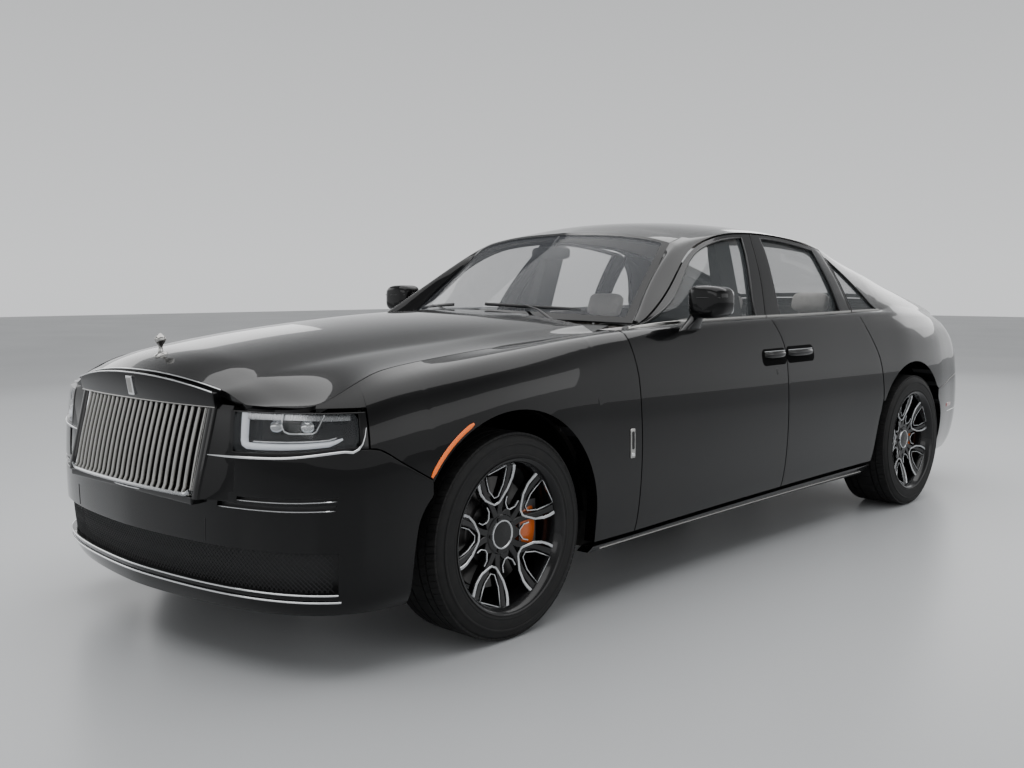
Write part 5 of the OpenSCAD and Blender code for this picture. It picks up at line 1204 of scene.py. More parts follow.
def banded(name, half, thick, material, slot, edge_cells, body="body", drop=0.0):
    """Glass with a black band round it, which is edge_cells cells wide at the side, foot and head."""
    g = both(half) - [0, 0, drop]
    m, n = g.shape[0] - 1, g.shape[1] - 1
    points, faces, _ = shell(g, g - [0, 0, thick])
    side_w, foot_w, head_w = edge_cells
    kinds = []
    for f in faces:
        i = min((p % ((m + 1) * (n + 1))) // (n + 1) for p in f)
        j = min((p % ((m + 1) * (n + 1))) % (n + 1) for p in f)
        kinds.append(int(i < side_w or i >= m - side_w or j < foot_w or j >= n - head_w))
    return mesh(name, points, faces, [material, GLOSS], body, slot=slot, kinds=kinds)


us = concatenate([linspace(0, 0.9, 19), [0.925, 0.95, 0.97, 1]])
vs = concatenate([[0, 0.03, 0.06], linspace(0.12, 0.94, 15), [0.97, 1]])
made = banded("windscreen_glass", array([[screen_point(u, v) for v in vs] for u in us]), 7, SCREEN,
              "window_glass", (2, 2, 1))
stands_for(made, "windscreen")


def top_half(ys, us, headed=False):
    """Half of the upper skin. Where headed, its rows start at the windscreen's head."""
    rows = []
    for u in us:
        row = array([[(ditch(float(y))[0] - 0.5) * u, y, 0] for y in ys], float)
        row[:, 2] = top_z(row[:, 0], row[:, 1])
        if headed:
            h = curve(header, u) - [u * 0.5, -0.5, 0]
            q = linspace(0, 1, 8)[:-1, None]
            lead = mix(h, row[0], q)
            lead[:, 2] = top_z(lead[:, 0], lead[:, 1])
            lead[:, 2] += (h[2] - lead[0, 2]) * (1 - q[:, 0])
            row = concatenate([lead, row])
        rows.append(row)
    return array(rows)


half = top_half(linspace(-250, 1055, 40), linspace(0, 1, 20), headed=True)
made = panel("roof_skin", both(half), both(half - [0, 0, 30]), "body", materials=[PAINT, CEILING], bevel=0.8)
stands_for(made, "roof_panel")
us = concatenate([linspace(0, 0.88, 18), [0.92, 0.96, 1]])
half = top_half(concatenate([[1056, 1075, 1095], linspace(1130, 2040, 24), [2072, 2105]]), us)
made = banded("rear_window_glass", half, 7, GLASS, "window_glass", (2, 2, 2))
stands_for(made, "rear_window")

# ---- grille

GRILLE_HALF, FOOT_Z, HEAD_Z = 440.0, 573.0, 858.0


def lean_y(z, x=0.0):
    """How far forward the grille's face stands. It bows forward in the middle."""
    return mix(-2770.0, -2700.0, (z - FOOT_Z) / (HEAD_Z - FOOT_Z)) + 30 * (abs(x) / GRILLE_HALF) ** 2.2


def loft(name, rings, material, body, smooth=40, slot=None, right=False):
    """Skin through rings of points, with flat ends."""
    rings = np.asarray(rings, float)
    return mesh(name, rings.reshape(-1, 3), ring_faces(*rings.shape[:2]), material, body, smooth=smooth, slot=slot,
                right=right)


vane_points, vane_faces = [], []
for k in range(24):
    x = mix(-GRILLE_HALF + 44, GRILLE_HALF - 44, k / 23)
    zs = concatenate([[FOOT_Z + 1, FOOT_Z + 8], linspace(FOOT_Z + 22, HEAD_Z + 3, 9)])
    for z in zs:
        bow = 5 * sin(pi * (z - FOOT_Z) / (HEAD_Z - FOOT_Z))
        y = lean_y(z, x) + 11 - bow - 6 * float(ease(FOOT_Z + 24, FOOT_Z, z))
        start = len(vane_points)
        for dx, dy in ((-1.4, 0), (1.4, 0), (4.6, 7), (5.0, 13), (2.6, 42), (-2.6, 42), (-5.0, 13), (-4.6, 7)):
            vane_points.append([x + dx, y + dy, z])
        if z > zs[0]:
            vane_faces += [(start - 8 + e, start - 8 + (e + 1) % 8, start + (e + 1) % 8, start + e) for e in range(8)]
    vane_faces.append(tuple(range(len(vane_points) - 8, len(vane_points))))
made = mesh("grille_vanes", vane_points, vane_faces, DARK, "body", smooth=30, slot="frame_steel")
stands_for(made, "grille")
block("grille_backing", (-428, -2652, 577), (428, -2646, 862), SATIN, "body", slot="black_plastic")
block("grille_foot", (-GRILLE_HALF + 20, -2742, 545), (GRILLE_HALF - 20, -2660, FOOT_Z - 3), GLOSS, "body", bevel=5,
      slot="frame_steel")
for name, right in SIDES:
    rings = []
    for z in linspace(FOOT_Z - 8, HEAD_Z + 6, 12):
        x, y = GRILLE_HALF + 4 * (z - FOOT_Z) / (HEAD_Z - FOOT_Z), lean_y(max(z, FOOT_Z), GRILLE_HALF)
        rings.append([[x + dx, y + dy, z] for dx, dy in
                      ((-34, 22), (-32, 8), (-27, 2), (-16, -1.5), (-2, 0), (6, 4), (9, 12), (9, 60), (-34, 60))])
    loft(f"grille_post_{name}", rings, GLOSS, "body", right=right)
    edge = [[GRILLE_HALF - 33 + 4 * (z - FOOT_Z) / (HEAD_Z - FOOT_Z), lean_y(z, GRILLE_HALF) + 9, z]
            for z in linspace(FOOT_Z, HEAD_Z, 8)]
    tube(f"grille_post_line_{name}", edge, 2, BRIGHT, "body", right=right, sides=8)
# band over the vanes, rising to the middle under the bonnet's front edge
rows = []
for u in linspace(0, 1, 30):
    top = bonnet_point(0.0, u, 0)
    x = u * (GRILLE_HALF + 16)
    foot_at = array([x, lean_y(HEAD_Z, x) - 2, HEAD_Z - 1])
    head_at = array([x, top[1] - 17, top[2] - 5])
    column = []
    for v in linspace(0, 1, 9):
        p = mix(foot_at, head_at, v)
        p[1] -= 5 * sin(pi * v) * (1 - 0.6 * u)
        column.append(p)
    rows.append(column)
rows = array(rows)
panel("grille_head", both(rows), both(rows + [0, 34, 0]), "body", materials=[GLOSS, SATIN], bevel=2.5,
      slot="frame_steel")
line = rows[:, -1] + [0, -1.5, 1.0]
tube("grille_head_line", both(line), 2.2, BRIGHT, "body", sides=8,
     slot="bright_metal")
line = rows[:, 0] + [0, 1, -1]
tube("grille_vane_head_line", both(line), 2.6, DARK, "body", sides=8)
# bright tray under the vanes, curled up at its ends, and a fine line below it
rings = []
for x in linspace(-GRILLE_HALF + 34, GRILLE_HALF - 34, 40):
    curl = 14 * max(0, (abs(x) - 376) / 30) ** 2
    rings.append([[x, lean_y(FOOT_Z, x) - 1 + dy, FOOT_Z + dz + curl] for dy, dz in
                  ((0, 3), (4, -4), (12, -7), (52, -7), (52, -2), (16, -1), (8, 4), (4, 8))])
loft("grille_tray", rings, ALLOY, "body", slot="bright_metal")
line = [[x, float(bumper_point(max(0.66, 1 - abs(x) / 1250), 535, True)[1]) - 2, 555 + 2 * (x / 430) ** 2]
        for x in linspace(-430, 430, 40)]
tube("grille_foot_line", line, 2.2, BRIGHT, "body", sides=8, slot="bright_metal")
# small upright plate without marks
low, high = rows[0, 1], rows[0, 7]
tilt_y = float(high[1] - low[1])
block("grille_plate", (-19, low[1] - 9, low[2]), (19, low[1] + 2, high[2]), BRIGHT, "body", bevel=2.5, shear=tilt_y,
      slot="bright_metal")
block("grille_plate_field", (-14, low[1] - 10.4, low[2] + 7), (14, low[1], high[2] - 7), DARK, "body", bevel=1.5,
      shear=tilt_y * 0.9)
# gloss walls from the posts back to the lamps
for name, right in SIDES:
    wall = []
    for z in linspace(566, 866, 20):
        a = array([GRILLE_HALF + 5, lean_y(max(z, FOOT_Z), GRILLE_HALF) + 10, z])
        v = level(-3032.0, z)
        b = push(side(-3032.0, v), -3032.0, 3)
        if z < 705:
            b = bumper_point(0.652, z, True, 4)
        wall.append([mix(a, b, t) for t in linspace(0, 1, 7)])
    wall = array(wall)
    panel(f"grille_cheek_{name}", wall, wall + [0, 8, 0], "body", materials=[PAINT, SATIN], bevel=0, right=right)

# ---- headlamps

LAMP_A, LAMP_B = -3040.0, -2454.0


def lamp_point(a, b, depth):
    """Point of the lamp: a runs outwards from the grille, b runs up."""
    s = mix(LAMP_A, LAMP_B, a)
    low, high = level(s, float(curve(bumper_top_front, s)) + 1), level(s, 853.0)
    return push(side(s, mix(low, high, b)), s, depth)


def lamp_grid(aa, bb, depth):
    return array([[lamp_point(a, b, depth) for b in bb] for a in aa])


def rounded_lamp(a0, a1, b0, b1, depth, n=40):
    """Grid whose columns shorten towards the ends, as a rectangle with rounded corners."""
    rows = []
    for a in linspace(a0, a1, n):
        e = min(a - a0, a1 - a) / 0.05
        cut = 0.16 * (1 - sqrt(max(0, 1 - (1 - min(1, e)) ** 2)))
        rows.append([lamp_point(a, mix(b0 + cut, b1 - cut, t), depth) for t in linspace(0, 1, 9)])
    return array(rows)


aa, bb = linspace(0, 1, 34), concatenate([[0, 0.06], linspace(0.2, 0.8, 4), [0.94, 1]])
frame_out, frame_back = lamp_grid(aa, bb, 2), lamp_grid(aa, bb, 62)
for name, right in SIDES:
    ring = panel(f"headlamp_frame_{name}", frame_out, frame_back, "body",
                 lambda i, j: i < 1 or i > len(aa) - 4 or j in (0, len(bb) - 2), [GLOSS, GLOSS], bevel=2,
                 right=right, slot="lamp_lens")
    stands_for(ring, "headlights")
    panel(f"headlamp_back_{name}", lamp_grid(aa, bb, 56), lamp_grid(aa, bb, 80), "body", materials=[GLOSS, SATIN],
          bevel=0, right=right, slot="black_plastic")
    glass = rounded_lamp(0.025, 0.93, 0.05, 0.95, 2.5), rounded_lamp(0.025, 0.93, 0.05, 0.95, 6)
    panel(f"headlamp_lens_{name}", *glass, "body", materials=[LENS, LENS], bevel=0, right=right, slot="lamp_lens")
    path = [(0.085, b) for b in linspace(0.9, 0.26, 7)] + [(0.09, 0.19), (0.11, 0.155)] + \
           [(a, 0.15) for a in linspace(0.16, 0.7, 16)] + [(0.76, 0.19), (0.81, 0.24)]
    guide = array([lamp_point(a, b, 20) for a, b in path])
    thick = concatenate([np.full(9, 1.0), linspace(1.0, 0.75, 16), [0.55, 0.3]])
    tube(f"light_guide_{name}", guide, 13, GUIDE, "body", right=right, taper=thick, flat=(1, 0.85), slot="lamp_lens")
    guide = array([lamp_point(a, b + 0.10, 12) for a, b in path[9:-1]])
    tube(f"light_guide_line_{name}", guide, 2.2, BRIGHT, "body", right=right, sides=8)
    band = [lamp_grid(linspace(0.06, 0.88, 24), linspace(0.72, 0.95, 4), depth) for depth in (16, 40)]
    panel(f"lamp_band_{name}", *band, "body", materials=[ALLOY, SATIN], bevel=1, right=right)
    bow = [(0.36, 0.93), (0.355, 0.75), (0.36, 0.56), (0.375, 0.47), (0.41, 0.43)] + \
          [(a, 0.425) for a in linspace(0.44, 0.58, 6)] + [(0.605, 0.47), (0.63, 0.62), (0.665, 0.93)]
    tube(f"lamp_bow_{name}", [lamp_point(a, b, 10) for a, b in bow], 2.6, BRIGHT, "body", right=right, sides=8)
    for k, a in enumerate((0.27, 0.5)):
        c = lamp_point(a, 0.55, 34)
        points, faces = turned([(-14, 0.1), (-8, 14), (2, 22), (8, 25), (14, 27), (16, 27), (16, 0.1)], 36)
        points = np.stack([points[:, 1], points[:, 0], points[:, 2]], -1) + c
        mesh(f"lamp_projector_{k}_{name}", points, faces, MIRROR, "body", slot="lamp_lens", right=right)
    cs = [(s, float(curve(bumper_top_front, s)) - 3) for s in linspace(-3130, -2560, 26)] + \
        [(-2525, 732.0), (-2500, 741.0), (-2482, 757.0), (-2470, 780.0), (-2462, 806.0)]
    under = array([push(side(s, level(s, z)), s, -1.5) for s, z in cs])
    width = np.minimum(1, 0.3 + np.arange(len(cs)) / 5) * np.minimum(1, 0.3 + np.arange(len(cs))[::-1] / 5)
    tube(f"lamp_strip_{name}", under, 4.2, BRIGHT, "body", flat=(0.7, 1), right=right, taper=width,
         slot="bright_metal")

# ---- door mirrors and wipers


def rounded_box(centre, half, power, columns=40, rows=24):
    """Box with soft edges: a low power is squarer."""
    t, f = linspace(-np.pi, np.pi, columns + 1)[:-1], linspace(-np.pi / 2, np.pi / 2, rows)
    t, f = np.meshgrid(t, f, indexing="ij")

    def soft(v):
        return np.sign(v) * np.abs(v) ** power

    p = np.stack([soft(np.cos(f)) * soft(np.cos(t)), soft(np.cos(f)) * soft(np.sin(t)), soft(np.sin(f))], -1)
    return p * half + centre


def soft_box(name, centre, half, power, columns, rows, *rest, **more):
    """A rounded box as a piece of its own."""
    shape = rounded_box(array(centre), array(half), power, columns, rows)
    return mesh(name, shape.reshape(-1, 3), wrapped_faces(columns, rows), *rest, **more)


MIRROR_X, MIRROR_Z = 980, 1174
for name, right in SIDES:
    door = f"front_door_{name}"
    shape = rounded_box(array([MIRROR_X, -624, MIRROR_Z]), array([92, 66, 70]), 0.42)
    x = shape[..., 0]
    shape[..., 1] += 18 * ((x - MIRROR_X) / 88) ** 2 * (shape[..., 1] < -626)
    shape[..., 2] += np.where(shape[..., 2] > MIRROR_Z, -10, 14) * (np.clip(x - 960, 0, 110) / 110) ** 2
    shape[..., 1] = np.clip(shape[..., 1], -684, -568)
    made = mesh(f"mirror_shell_{name}", shape.reshape(-1, 3), wrapped_faces(40, 24), PAINT, door,
                slot="body_paint", right=right)
    stands_for(made, f"door_mirror_{name}")
    soft_box(f"mirror_face_{name}", [982, -567, MIRROR_Z], [78, 4, 55], 0.35, 40, 24, MIRROR, door, right=right)
    tube(f"mirror_seam_{name}", [[x, -684.5 + 18 * ((x - MIRROR_X) / 88) ** 2, 1192] for x in linspace(900, 1058, 20)],
         2.0, SATIN, door, right=right, sides=8)
    tube(f"mirror_light_{name}", [[x, -682 + 18 * ((x - MIRROR_X) / 88) ** 2, 1184] for x in linspace(930, 1050, 12)],
         1.6, GUIDE, door, right=right, sides=8)
    rings = []
    for t in linspace(0, 1, 9):
        c = mix(array([904, -668, 1052]), array([922, -622, 1128]), t)
        long, wide = mix(72, 38, min(1, 1.5 * t)), mix(30, 26, t)
        rings.append([c + [wide * sin(a), long * np.sign(cos(a)) * abs(cos(a)) ** 0.6,
                           10 * (1 - t) * sin(a)] for a in turns(24)])
    loft(f"mirror_stalk_{name}", rings, GLOSS, door, right=right)

for k, (x0, x1) in enumerate(((430, 40), (-160, -560))):
    pivot = array([x0 + 60, -1068, 1096], float)
    base = array(screen_point(min(abs(x0) / 620, 0.99), 0.08)) * [np.sign(x0), 1, 1]
    tipped = array(screen_point(min(abs(x1) / 620, 0.99), 0.10)) * [np.sign(x1) or 1, 1, 1]
    path = array([mix(base, tipped, t) for t in linspace(0, 1, 14)])
    for n, p in enumerate(path):
        u = min(abs(p[0]) / 640, 0.98)
        path[n, 2] = screen_point(u, 0.09)[2] + 9
        path[n, 1] = screen_point(u, 0.09)[1] - 6
    tube(f"wiper_blade_{k}", path, 5, SATIN, "body", flat=(1, 1.5), sides=8, slot="black_plastic")
    arm = array([pivot, mix(pivot, path[7], 0.5) + [0, 0, 16], path[7] + [0, 0, 7]])
    tube(f"wiper_arm_{k}", arm, 5.5, SATIN, "body", flat=(1.2, 0.7), sides=8, slot="black_plastic",
         taper=(1.4, 1.0, 0.8))

# ---- wheels

RIM_R, FRONT_WIDTH, REAR_WIDTH = 267.0, 255.0, 285.0
SPOKES, SPOKE_STEP = 5, 72
WHEELS = [(end, name, right, axle, track, width)
          for end, axle, track, width in (("front", FRONT_AXLE, 832.0, FRONT_WIDTH),
                                          ("rear", REAR_AXLE, 843.0, REAR_WIDTH))
          for name, right in SIDES]


def wheel_piece(name, points, faces, material, spot, right, body, smooth=40, slot="wheel_alloy", kinds=None, bevel=0.0):
    """Points about the wheel's middle, with X outwards, moved to the axle."""
    p = np.asarray(points, float) + array([spot[0], spot[1], TYRE_R])
    return mesh(name, p, faces, material, body, smooth=smooth, slot=slot, kinds=kinds, bevel=bevel, right=right)


def added(points, faces, piece, shift=(0, 0, 0)):
    """Adds a turned piece to lists of points and faces, and gives how many faces it has."""
    start, (ring, more) = len(points), piece
    points += (ring + shift).tolist()
    faces += [tuple(start + v for v in f) for f in more]
    return len(more)


def tyre_shape(width):
    w = width / 2
    wall = [(-w + 8, RIM_R), (-w + 1, RIM_R + 16), (-w + 0.5, RIM_R + 34), (-w + 2, TYRE_R - 44), (-w + 6, TYRE_R - 24),
            (-w + 14, TYRE_R - 13), (-w + 24, TYRE_R - 9), (-w + 40, TYRE_R - 8)]
    profile = wall + [(-x, r) for x, r in wall[::-1]] + [(w - 14, RIM_R - 4), (-w + 14, RIM_R - 4), (-w + 8, RIM_R)]
    points, faces = [], []
    added(points, faces, turned(profile, 144))
    # raised ring on each sidewall
    for sign in (-1, 1):
        for r0, h in ((RIM_R + 20, 1.4), (TYRE_R - 40, 1.2)):
            added(points, faces, turned([(sign * (w - 1.5), r0 - 5), (sign * (w - 1.5 + h), r0 - 3),
                                         (sign * (w - 1.5 + h), r0 + 3), (sign * (w - 1.5), r0 + 5)], 144))
    # tread: shoulder blocks and ribs with sipes between them
    lanes = [(-w + 16, -w + 56, 96, 0.93), (-w + 62, -w + 92, 72, 0.95), (-w + 99, w - 99, 36, 0.975),
             (w - 92, w - 62, 72, 0.95), (w - 56, w - 16, 96, 0.93)]
    for lane, (x0, x1, count, share) in enumerate(lanes):
        for k in range(count):
            a0 = 2 * np.pi * (k + 0.5 * (lane % 2)) / count
            a1 = a0 + 2 * np.pi / count * share
            slant = 0.012 * (1 if lane < 2 else -1 if lane > 2 else 0)
            start = len(points)
            for a in (a0, (a0 + a1) / 2, a1):
                for x, r in ((x0, TYRE_R - 11), (x0, TYRE_R - (3 if lane == 0 else 0.4)),
                             (x1, TYRE_R - (3 if lane == 4 else 0.4)), (x1, TYRE_R - 11)):
                    t = a + slant * (1 if x == x1 else -1)
                    points.append([x, r * cos(t), r * sin(t)])
            for s in (0, 4):
                faces += [(start + s + e, start + s + e + 1, start + s + e + 5, start + s + e + 4) for e in range(3)]
            faces += [(start, start + 1, start + 2, start + 3), (start + 8, start + 11, start + 10, start + 9)]
    return points, faces


def spoke_face(r):
    """How far out the wheel's face stands at a radius."""
    return 66 + 34 * np.clip((np.asarray(r, float) - 60) / 190, 0, 1) ** 1.6


def ribbon(points, faces, kinds, line, wide, deep, kind, lift=0.0, centre_angle=0.0, close=False):
    """Bar along a line of (radius, angle) on the wheel's face, with chamfered edges."""
    r, a = array(line, float).T
    a = np.radians(a + centre_angle)
    flat = np.stack([r * np.cos(a), r * np.sin(a)], -1)
    n = len(flat)
    ahead = np.roll(flat, -1, 0) - np.roll(flat, 1, 0) if close else np.gradient(flat, axis=0)
    ahead = unit(ahead)
    across = np.stack([-ahead[:, 1], ahead[:, 0]], -1)
    wide = np.broadcast_to(np.asarray(wide, float), (n,))
    start = len(points)
    for k in range(n):
        x = float(spoke_face(r[k])) + lift
        h = wide[k] / 2
        c = min(2.0, h * 0.35)
        for off, down in ((-h, deep), (-h, c), (-h + c, 0), (h - c, 0), (h, c), (h, deep)):
            p = flat[k] + across[k] * off
            points.append([x - down, p[0], p[1]])
    for k in range(n if close else n - 1):
        b = start + 6 * k
        d = start + 6 * ((k + 1) % n)
        for e in range(5):
            faces.append((b + e, b + e + 1, d + e + 1, d + e))
            kinds.append(kind)
        faces.append((b + 5, b, d, d + 5))
        kinds.append(0)
    if not close:
        faces += [tuple(range(start, start + 6)), tuple(range(start + 6 * (n - 1), start + 6 * n))]
        kinds += [0, 0]


def wheel_shape(width):
    """Rim, spokes, bright outlines and hub. Kinds: 0 black, 1 machined."""
    w = width / 2
    points, faces = [], []
    kinds = [0] * added(points, faces, turned([
        (-w + 8, RIM_R - 0.5), (-w + 8, RIM_R - 12), (-w + 24, RIM_R - 20), (-20, RIM_R - 26), (20, RIM_R - 27),
        (w - 34, RIM_R - 20), (w - 16, RIM_R - 8), (w - 6, RIM_R - 2), (w - 1.2, RIM_R + 5), (w - 0.6, RIM_R + 9),
        (w - 5, RIM_R - 0.5), (-w + 8, RIM_R - 0.5)], 144))
    shift = (width - FRONT_WIDTH) / 2
    base = len(points)
    for spoke in range(SPOKES):
        a0 = 104 - SPOKE_STEP * spoke
        arm = [(64, 9), (90, 10.5), (118, 13), (140, 15.5), (170, 17.8), (200, 18.6), (228, 18.6), (256, 18.4)]
        for sign in (1, -1):
            body = [(r, sign * (a - 1.5)) for r, a in arm]
            ribbon(points, faces, kinds, body, [26, 24, 22, 21, 20, 20, 22, 26], 40, 0, -2.5, a0)
        # broad bright fork, its corners squared off at the apex
        u = [(259, 21.0), (230, 22.6), (205, 23.2), (164, 20.6), (124, 9.0), (118, 5.0)]
        u = u + [(r, -a) for r, a in u[::-1]]
        wide = [14, 12.5, 11, 9.5, 8.5, 8.5, 8.5, 8.5, 9.5, 11, 12.5, 14]
        ribbon(points, faces, kinds, u, wide, 8, 1, 0, a0)
        inner = [(143, 4.0), (184, 11.4), (215, 12.2), (252, 12.4)]
        loop = inner + [(r, -a) for r, a in inner[::-1]]
        ribbon(points, faces, kinds, loop, 4.0, 7, 1, -1.0, a0, close=True)
        notch = [(136, 13.5), (112, 13.5), (93, 4.5), (93, -4.5), (112, -13.5), (136, -13.5)]
        ribbon(points, faces, kinds, notch, 5.0, 8, 1, 0, a0 + SPOKE_STEP / 2)
        web = [(66, 0), (80, 0), (94, 0)]
        ribbon(points, faces, kinds, web, [56, 40, 18], 36, 0, -3, a0 + SPOKE_STEP / 2)
    spokes = array(points)
    spokes[base:, 0] += shift
    points = spokes.tolist()
    hub = turned([(-18, 76), (44 + shift, 76), (62 + shift, 74), (67 + shift, 68), (68 + shift, 50),
                  (66 + shift, 55), (66 + shift, 54), (69 + shift, 53), (72 + shift, 51.5), (72.5 + shift, 47),
                  (70 + shift, 45), (71 + shift, 34), (73 + shift, 12), (73.4 + shift, 0.1)], 96)
    kinds += [1 if k % 13 in (6, 7, 8, 9) else 0 for k in range(added(points, faces, hub))]
    # wheel bolts
    for k in range(SPOKES):
        a = radians(SPOKE_STEP * (k + 0.5))
        bolt = turned([(64 + shift, 8), (70 + shift, 8), (72 + shift, 6), (72 + shift, 0.1)], 6)
        kinds += [0] * added(points, faces, bolt, [0, 57 * cos(a), 57 * sin(a)])
    return points, faces, kinds


def brake_disc():
    return turned([(-20, 60), (-20, 199), (-16, 200), (-9, 200), (-9, 190), (-1, 190), (-1, 200), (6, 200),
                   (10, 199), (10, 128), (14, 124), (22, 120), (22, 60)], 128)


def caliper_shape():
    """Clamp over the disc's rear edge, with two long windows and rounded shoulders."""
    turn = np.radians(linspace(-27, 27, 19))
    rings = []
    for a in turn:
        end = 1 - 0.35 * abs(a / turn[-1]) ** 6
        inner, outer = 128 + 16 * abs(a / turn[-1]) ** 4, 205 + 10 * end
        ring = [(-47, inner), (-47, outer - 9), (-42, outer), (26, outer), (34 * end + 2, outer - 9),
                (38 * end, outer - 30), (38 * end, inner + 18), (33 * end, inner), (14, inner), (14, 204), (-24, 204),
                (-24, inner)]
        rings.append([[x, r * cos(a), r * sin(a)] for x, r in ring])
    return rings


tyre_cache = {w: tyre_shape(w) for w in (FRONT_WIDTH, REAR_WIDTH)}
wheel_cache = {w: wheel_shape(w) for w in (FRONT_WIDTH, REAR_WIDTH)}
for end, name, right, axle, middle, width in WHEELS:
    body, spot = f"{end}_wheel_{name}", (middle, axle)
    made = wheel_piece(f"{end}_tyre_shape_{name}", *tyre_cache[width], RUBBER, spot, right, body, slot="tyre_rubber")
    stands_for(made, f"tyre_{end}_{name}")
    points, faces, kinds = wheel_cache[width]
    made = wheel_piece(f"{end}_rim_{name}", points, faces, [WHEEL, ALLOY], spot, right, body, kinds=kinds, smooth=32)
    stands_for(made, f"wheel_{end}_{name}")
    wheel_piece(f"{end}_disc_{name}", *brake_disc(), IRON, spot, right, body, slot="cast_metal")
    rings = array(caliper_shape())
    holder = f"front_knuckle_{name}" if end == "front" else "body"
    wheel_piece(f"{end}_caliper_{name}", rings.reshape(-1, 3), ring_faces(*rings.shape[:2]), ORANGE, spot, right,
                holder, slot="cast_metal", bevel=2)

# ---- finishes of the frame's own nodes

FINISHES = {"body_frame": CHASSIS, "cowl_panel": SATIN, "engine_block": CAST, "front_suspension": CHASSIS,
            "rear_suspension": CHASSIS, "exhaust": STEEL, "towing_sockets": STEEL, "front_knuckle_left": CAST,
            "front_knuckle_right": CAST, "dashboard": DASH}
for node, material in FINISHES.items():
    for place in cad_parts[node].material_slots:
        place.material = material

# ---- cabin


def cushion(name, centre, half, power, body, tilt=0.0, crown=10.0, pinch=6.0, columns=56, rows=36, slot="seat_leather"):
    """Crowned, closed pad. Its sides pull in a little between the corners."""
    shape = rounded_box(np.zeros(3), np.asarray(half, float) - 8, power, columns, rows)
    x, y, z = shape[..., 0] / half[0], shape[..., 1] / half[1], shape[..., 2] / half[2]
    shape[..., 2] += crown * (1 - x ** 2) * (1 - y ** 2) * np.sign(z)
    shape[..., 0] *= 1 - pinch / half[0] * (1 - np.clip(np.abs(y), 0, 1) ** 2)
    shape = on_tilt(centre, tilt, shape)
    return mesh(name, shape.reshape(-1, 3), wrapped_faces(columns, rows), HIDE, body, slot=slot, smooth=60)


def puffed(piece, cap=22.0, voxel=6.0, pressure=3.5):
    """Blows the pad up as cloth, and keeps each point within a cap of where it was."""
    scene = bpy.context.scene
    bpy.context.view_layer.objects.active = piece
    mod = piece.modifiers.new("even mesh", "REMESH")
    mod.mode, mod.voxel_size = "VOXEL", voxel * 2 * MM
    bpy.ops.object.select_all(action="DESELECT")
    piece.select_set(True)
    bpy.ops.object.modifier_apply(modifier=mod.name)
    before = np.empty(len(piece.data.vertices) * 3)
    piece.data.vertices.foreach_get("co", before)
    cloth = piece.modifiers.new("puff", "CLOTH")
    cloth.settings.use_pressure = True
    cloth.settings.uniform_pressure_force = pressure
    cloth.settings.effector_weights.gravity = 0
    cloth.settings.quality = 4
    cloth.point_cache.frame_end = 20
    for f in range(1, 15):
        scene.frame_set(f)
    bpy.ops.object.modifier_apply(modifier=cloth.name)
    after = np.empty_like(before)
    piece.data.vertices.foreach_get("co", after)
    before, after = before.reshape(-1, 3), after.reshape(-1, 3)
    step = after - before
    far = np.linalg.norm(step, axis=1, keepdims=True)
    piece.data.vertices.foreach_set("co", (before + step * np.minimum(1, cap * MM / np.maximum(far, 1e-9))).ravel())
    scene.frame_set(1)
    piece.data.polygons.foreach_set("use_smooth", np.ones(len(piece.data.polygons), bool))
    piece.modifiers.new("soft surface", "SUBSURF").render_levels = 1
    return piece


def on_tilt(origin, tilt, points):
    c, s = cos(radians(tilt)), sin(radians(tilt))
    p = np.asarray(points, float)
    return p @ array([[1, 0, 0], [0, c, s], [0, -s, c]]) + origin


SEAT_X, SEAT_TILT = 388, -20.0
pads = []
for name, right in SIDES:
    m = -1 if right else 1
    base = cushion(f"front_seat_base_{name}", [SEAT_X * m, -84, 488], [232, 244, 86], 0.30, "body", crown=12)
    back_at = array([SEAT_X * m, 110, 470])
    back = cushion(f"front_seat_back_{name}", on_tilt(back_at, SEAT_TILT, [0, 52, 318]), [222, 52, 300], 0.34, "body",
                   tilt=SEAT_TILT, crown=0)
    rest = cushion(f"front_headrest_{name}", on_tilt(back_at, SEAT_TILT, [0, 50, 722]), [126, 42, 74], 0.4, "body",
                   tilt=SEAT_TILT, crown=0, columns=40, rows=24)
    pads += [base, back, rest]
    stands_for(base, "front_seats")
    for k, x in enumerate((-55, 55)):
        post = on_tilt(back_at, SEAT_TILT, [[x, 50, 590], [x, 50, 690]])
        tube(f"front_headrest_post_{k}_{name}", post, 6, BRIGHT, "body")
    for k, x in enumerate((-95, 0, 95)):
        line = on_tilt(back_at, SEAT_TILT, [[x, -7 + 3 * abs(x) / 95, z] for z in linspace(120, 540, 12)])
        tube(f"front_back_seam_{k}_{name}", line, 2.4, DASH, "body", sides=6)
        line = [[SEAT_X * m + x, y, 582 - 10 * (abs(y + 84) / 240) ** 2] for y in linspace(-270, 90, 12)]
        tube(f"front_base_seam_{k}_{name}", line, 2.4, DASH, "body", sides=6)
    block(f"front_seat_plinth_{name}", (SEAT_X * m - 205, -280, 216), (SEAT_X * m + 205, 130, 408), CARPET, "body",
          bevel=12, slot="chassis_metal")
REAR_TILT, REAR_BACK_Y, REAR_BACK_Z = -22, 1125.0, 505
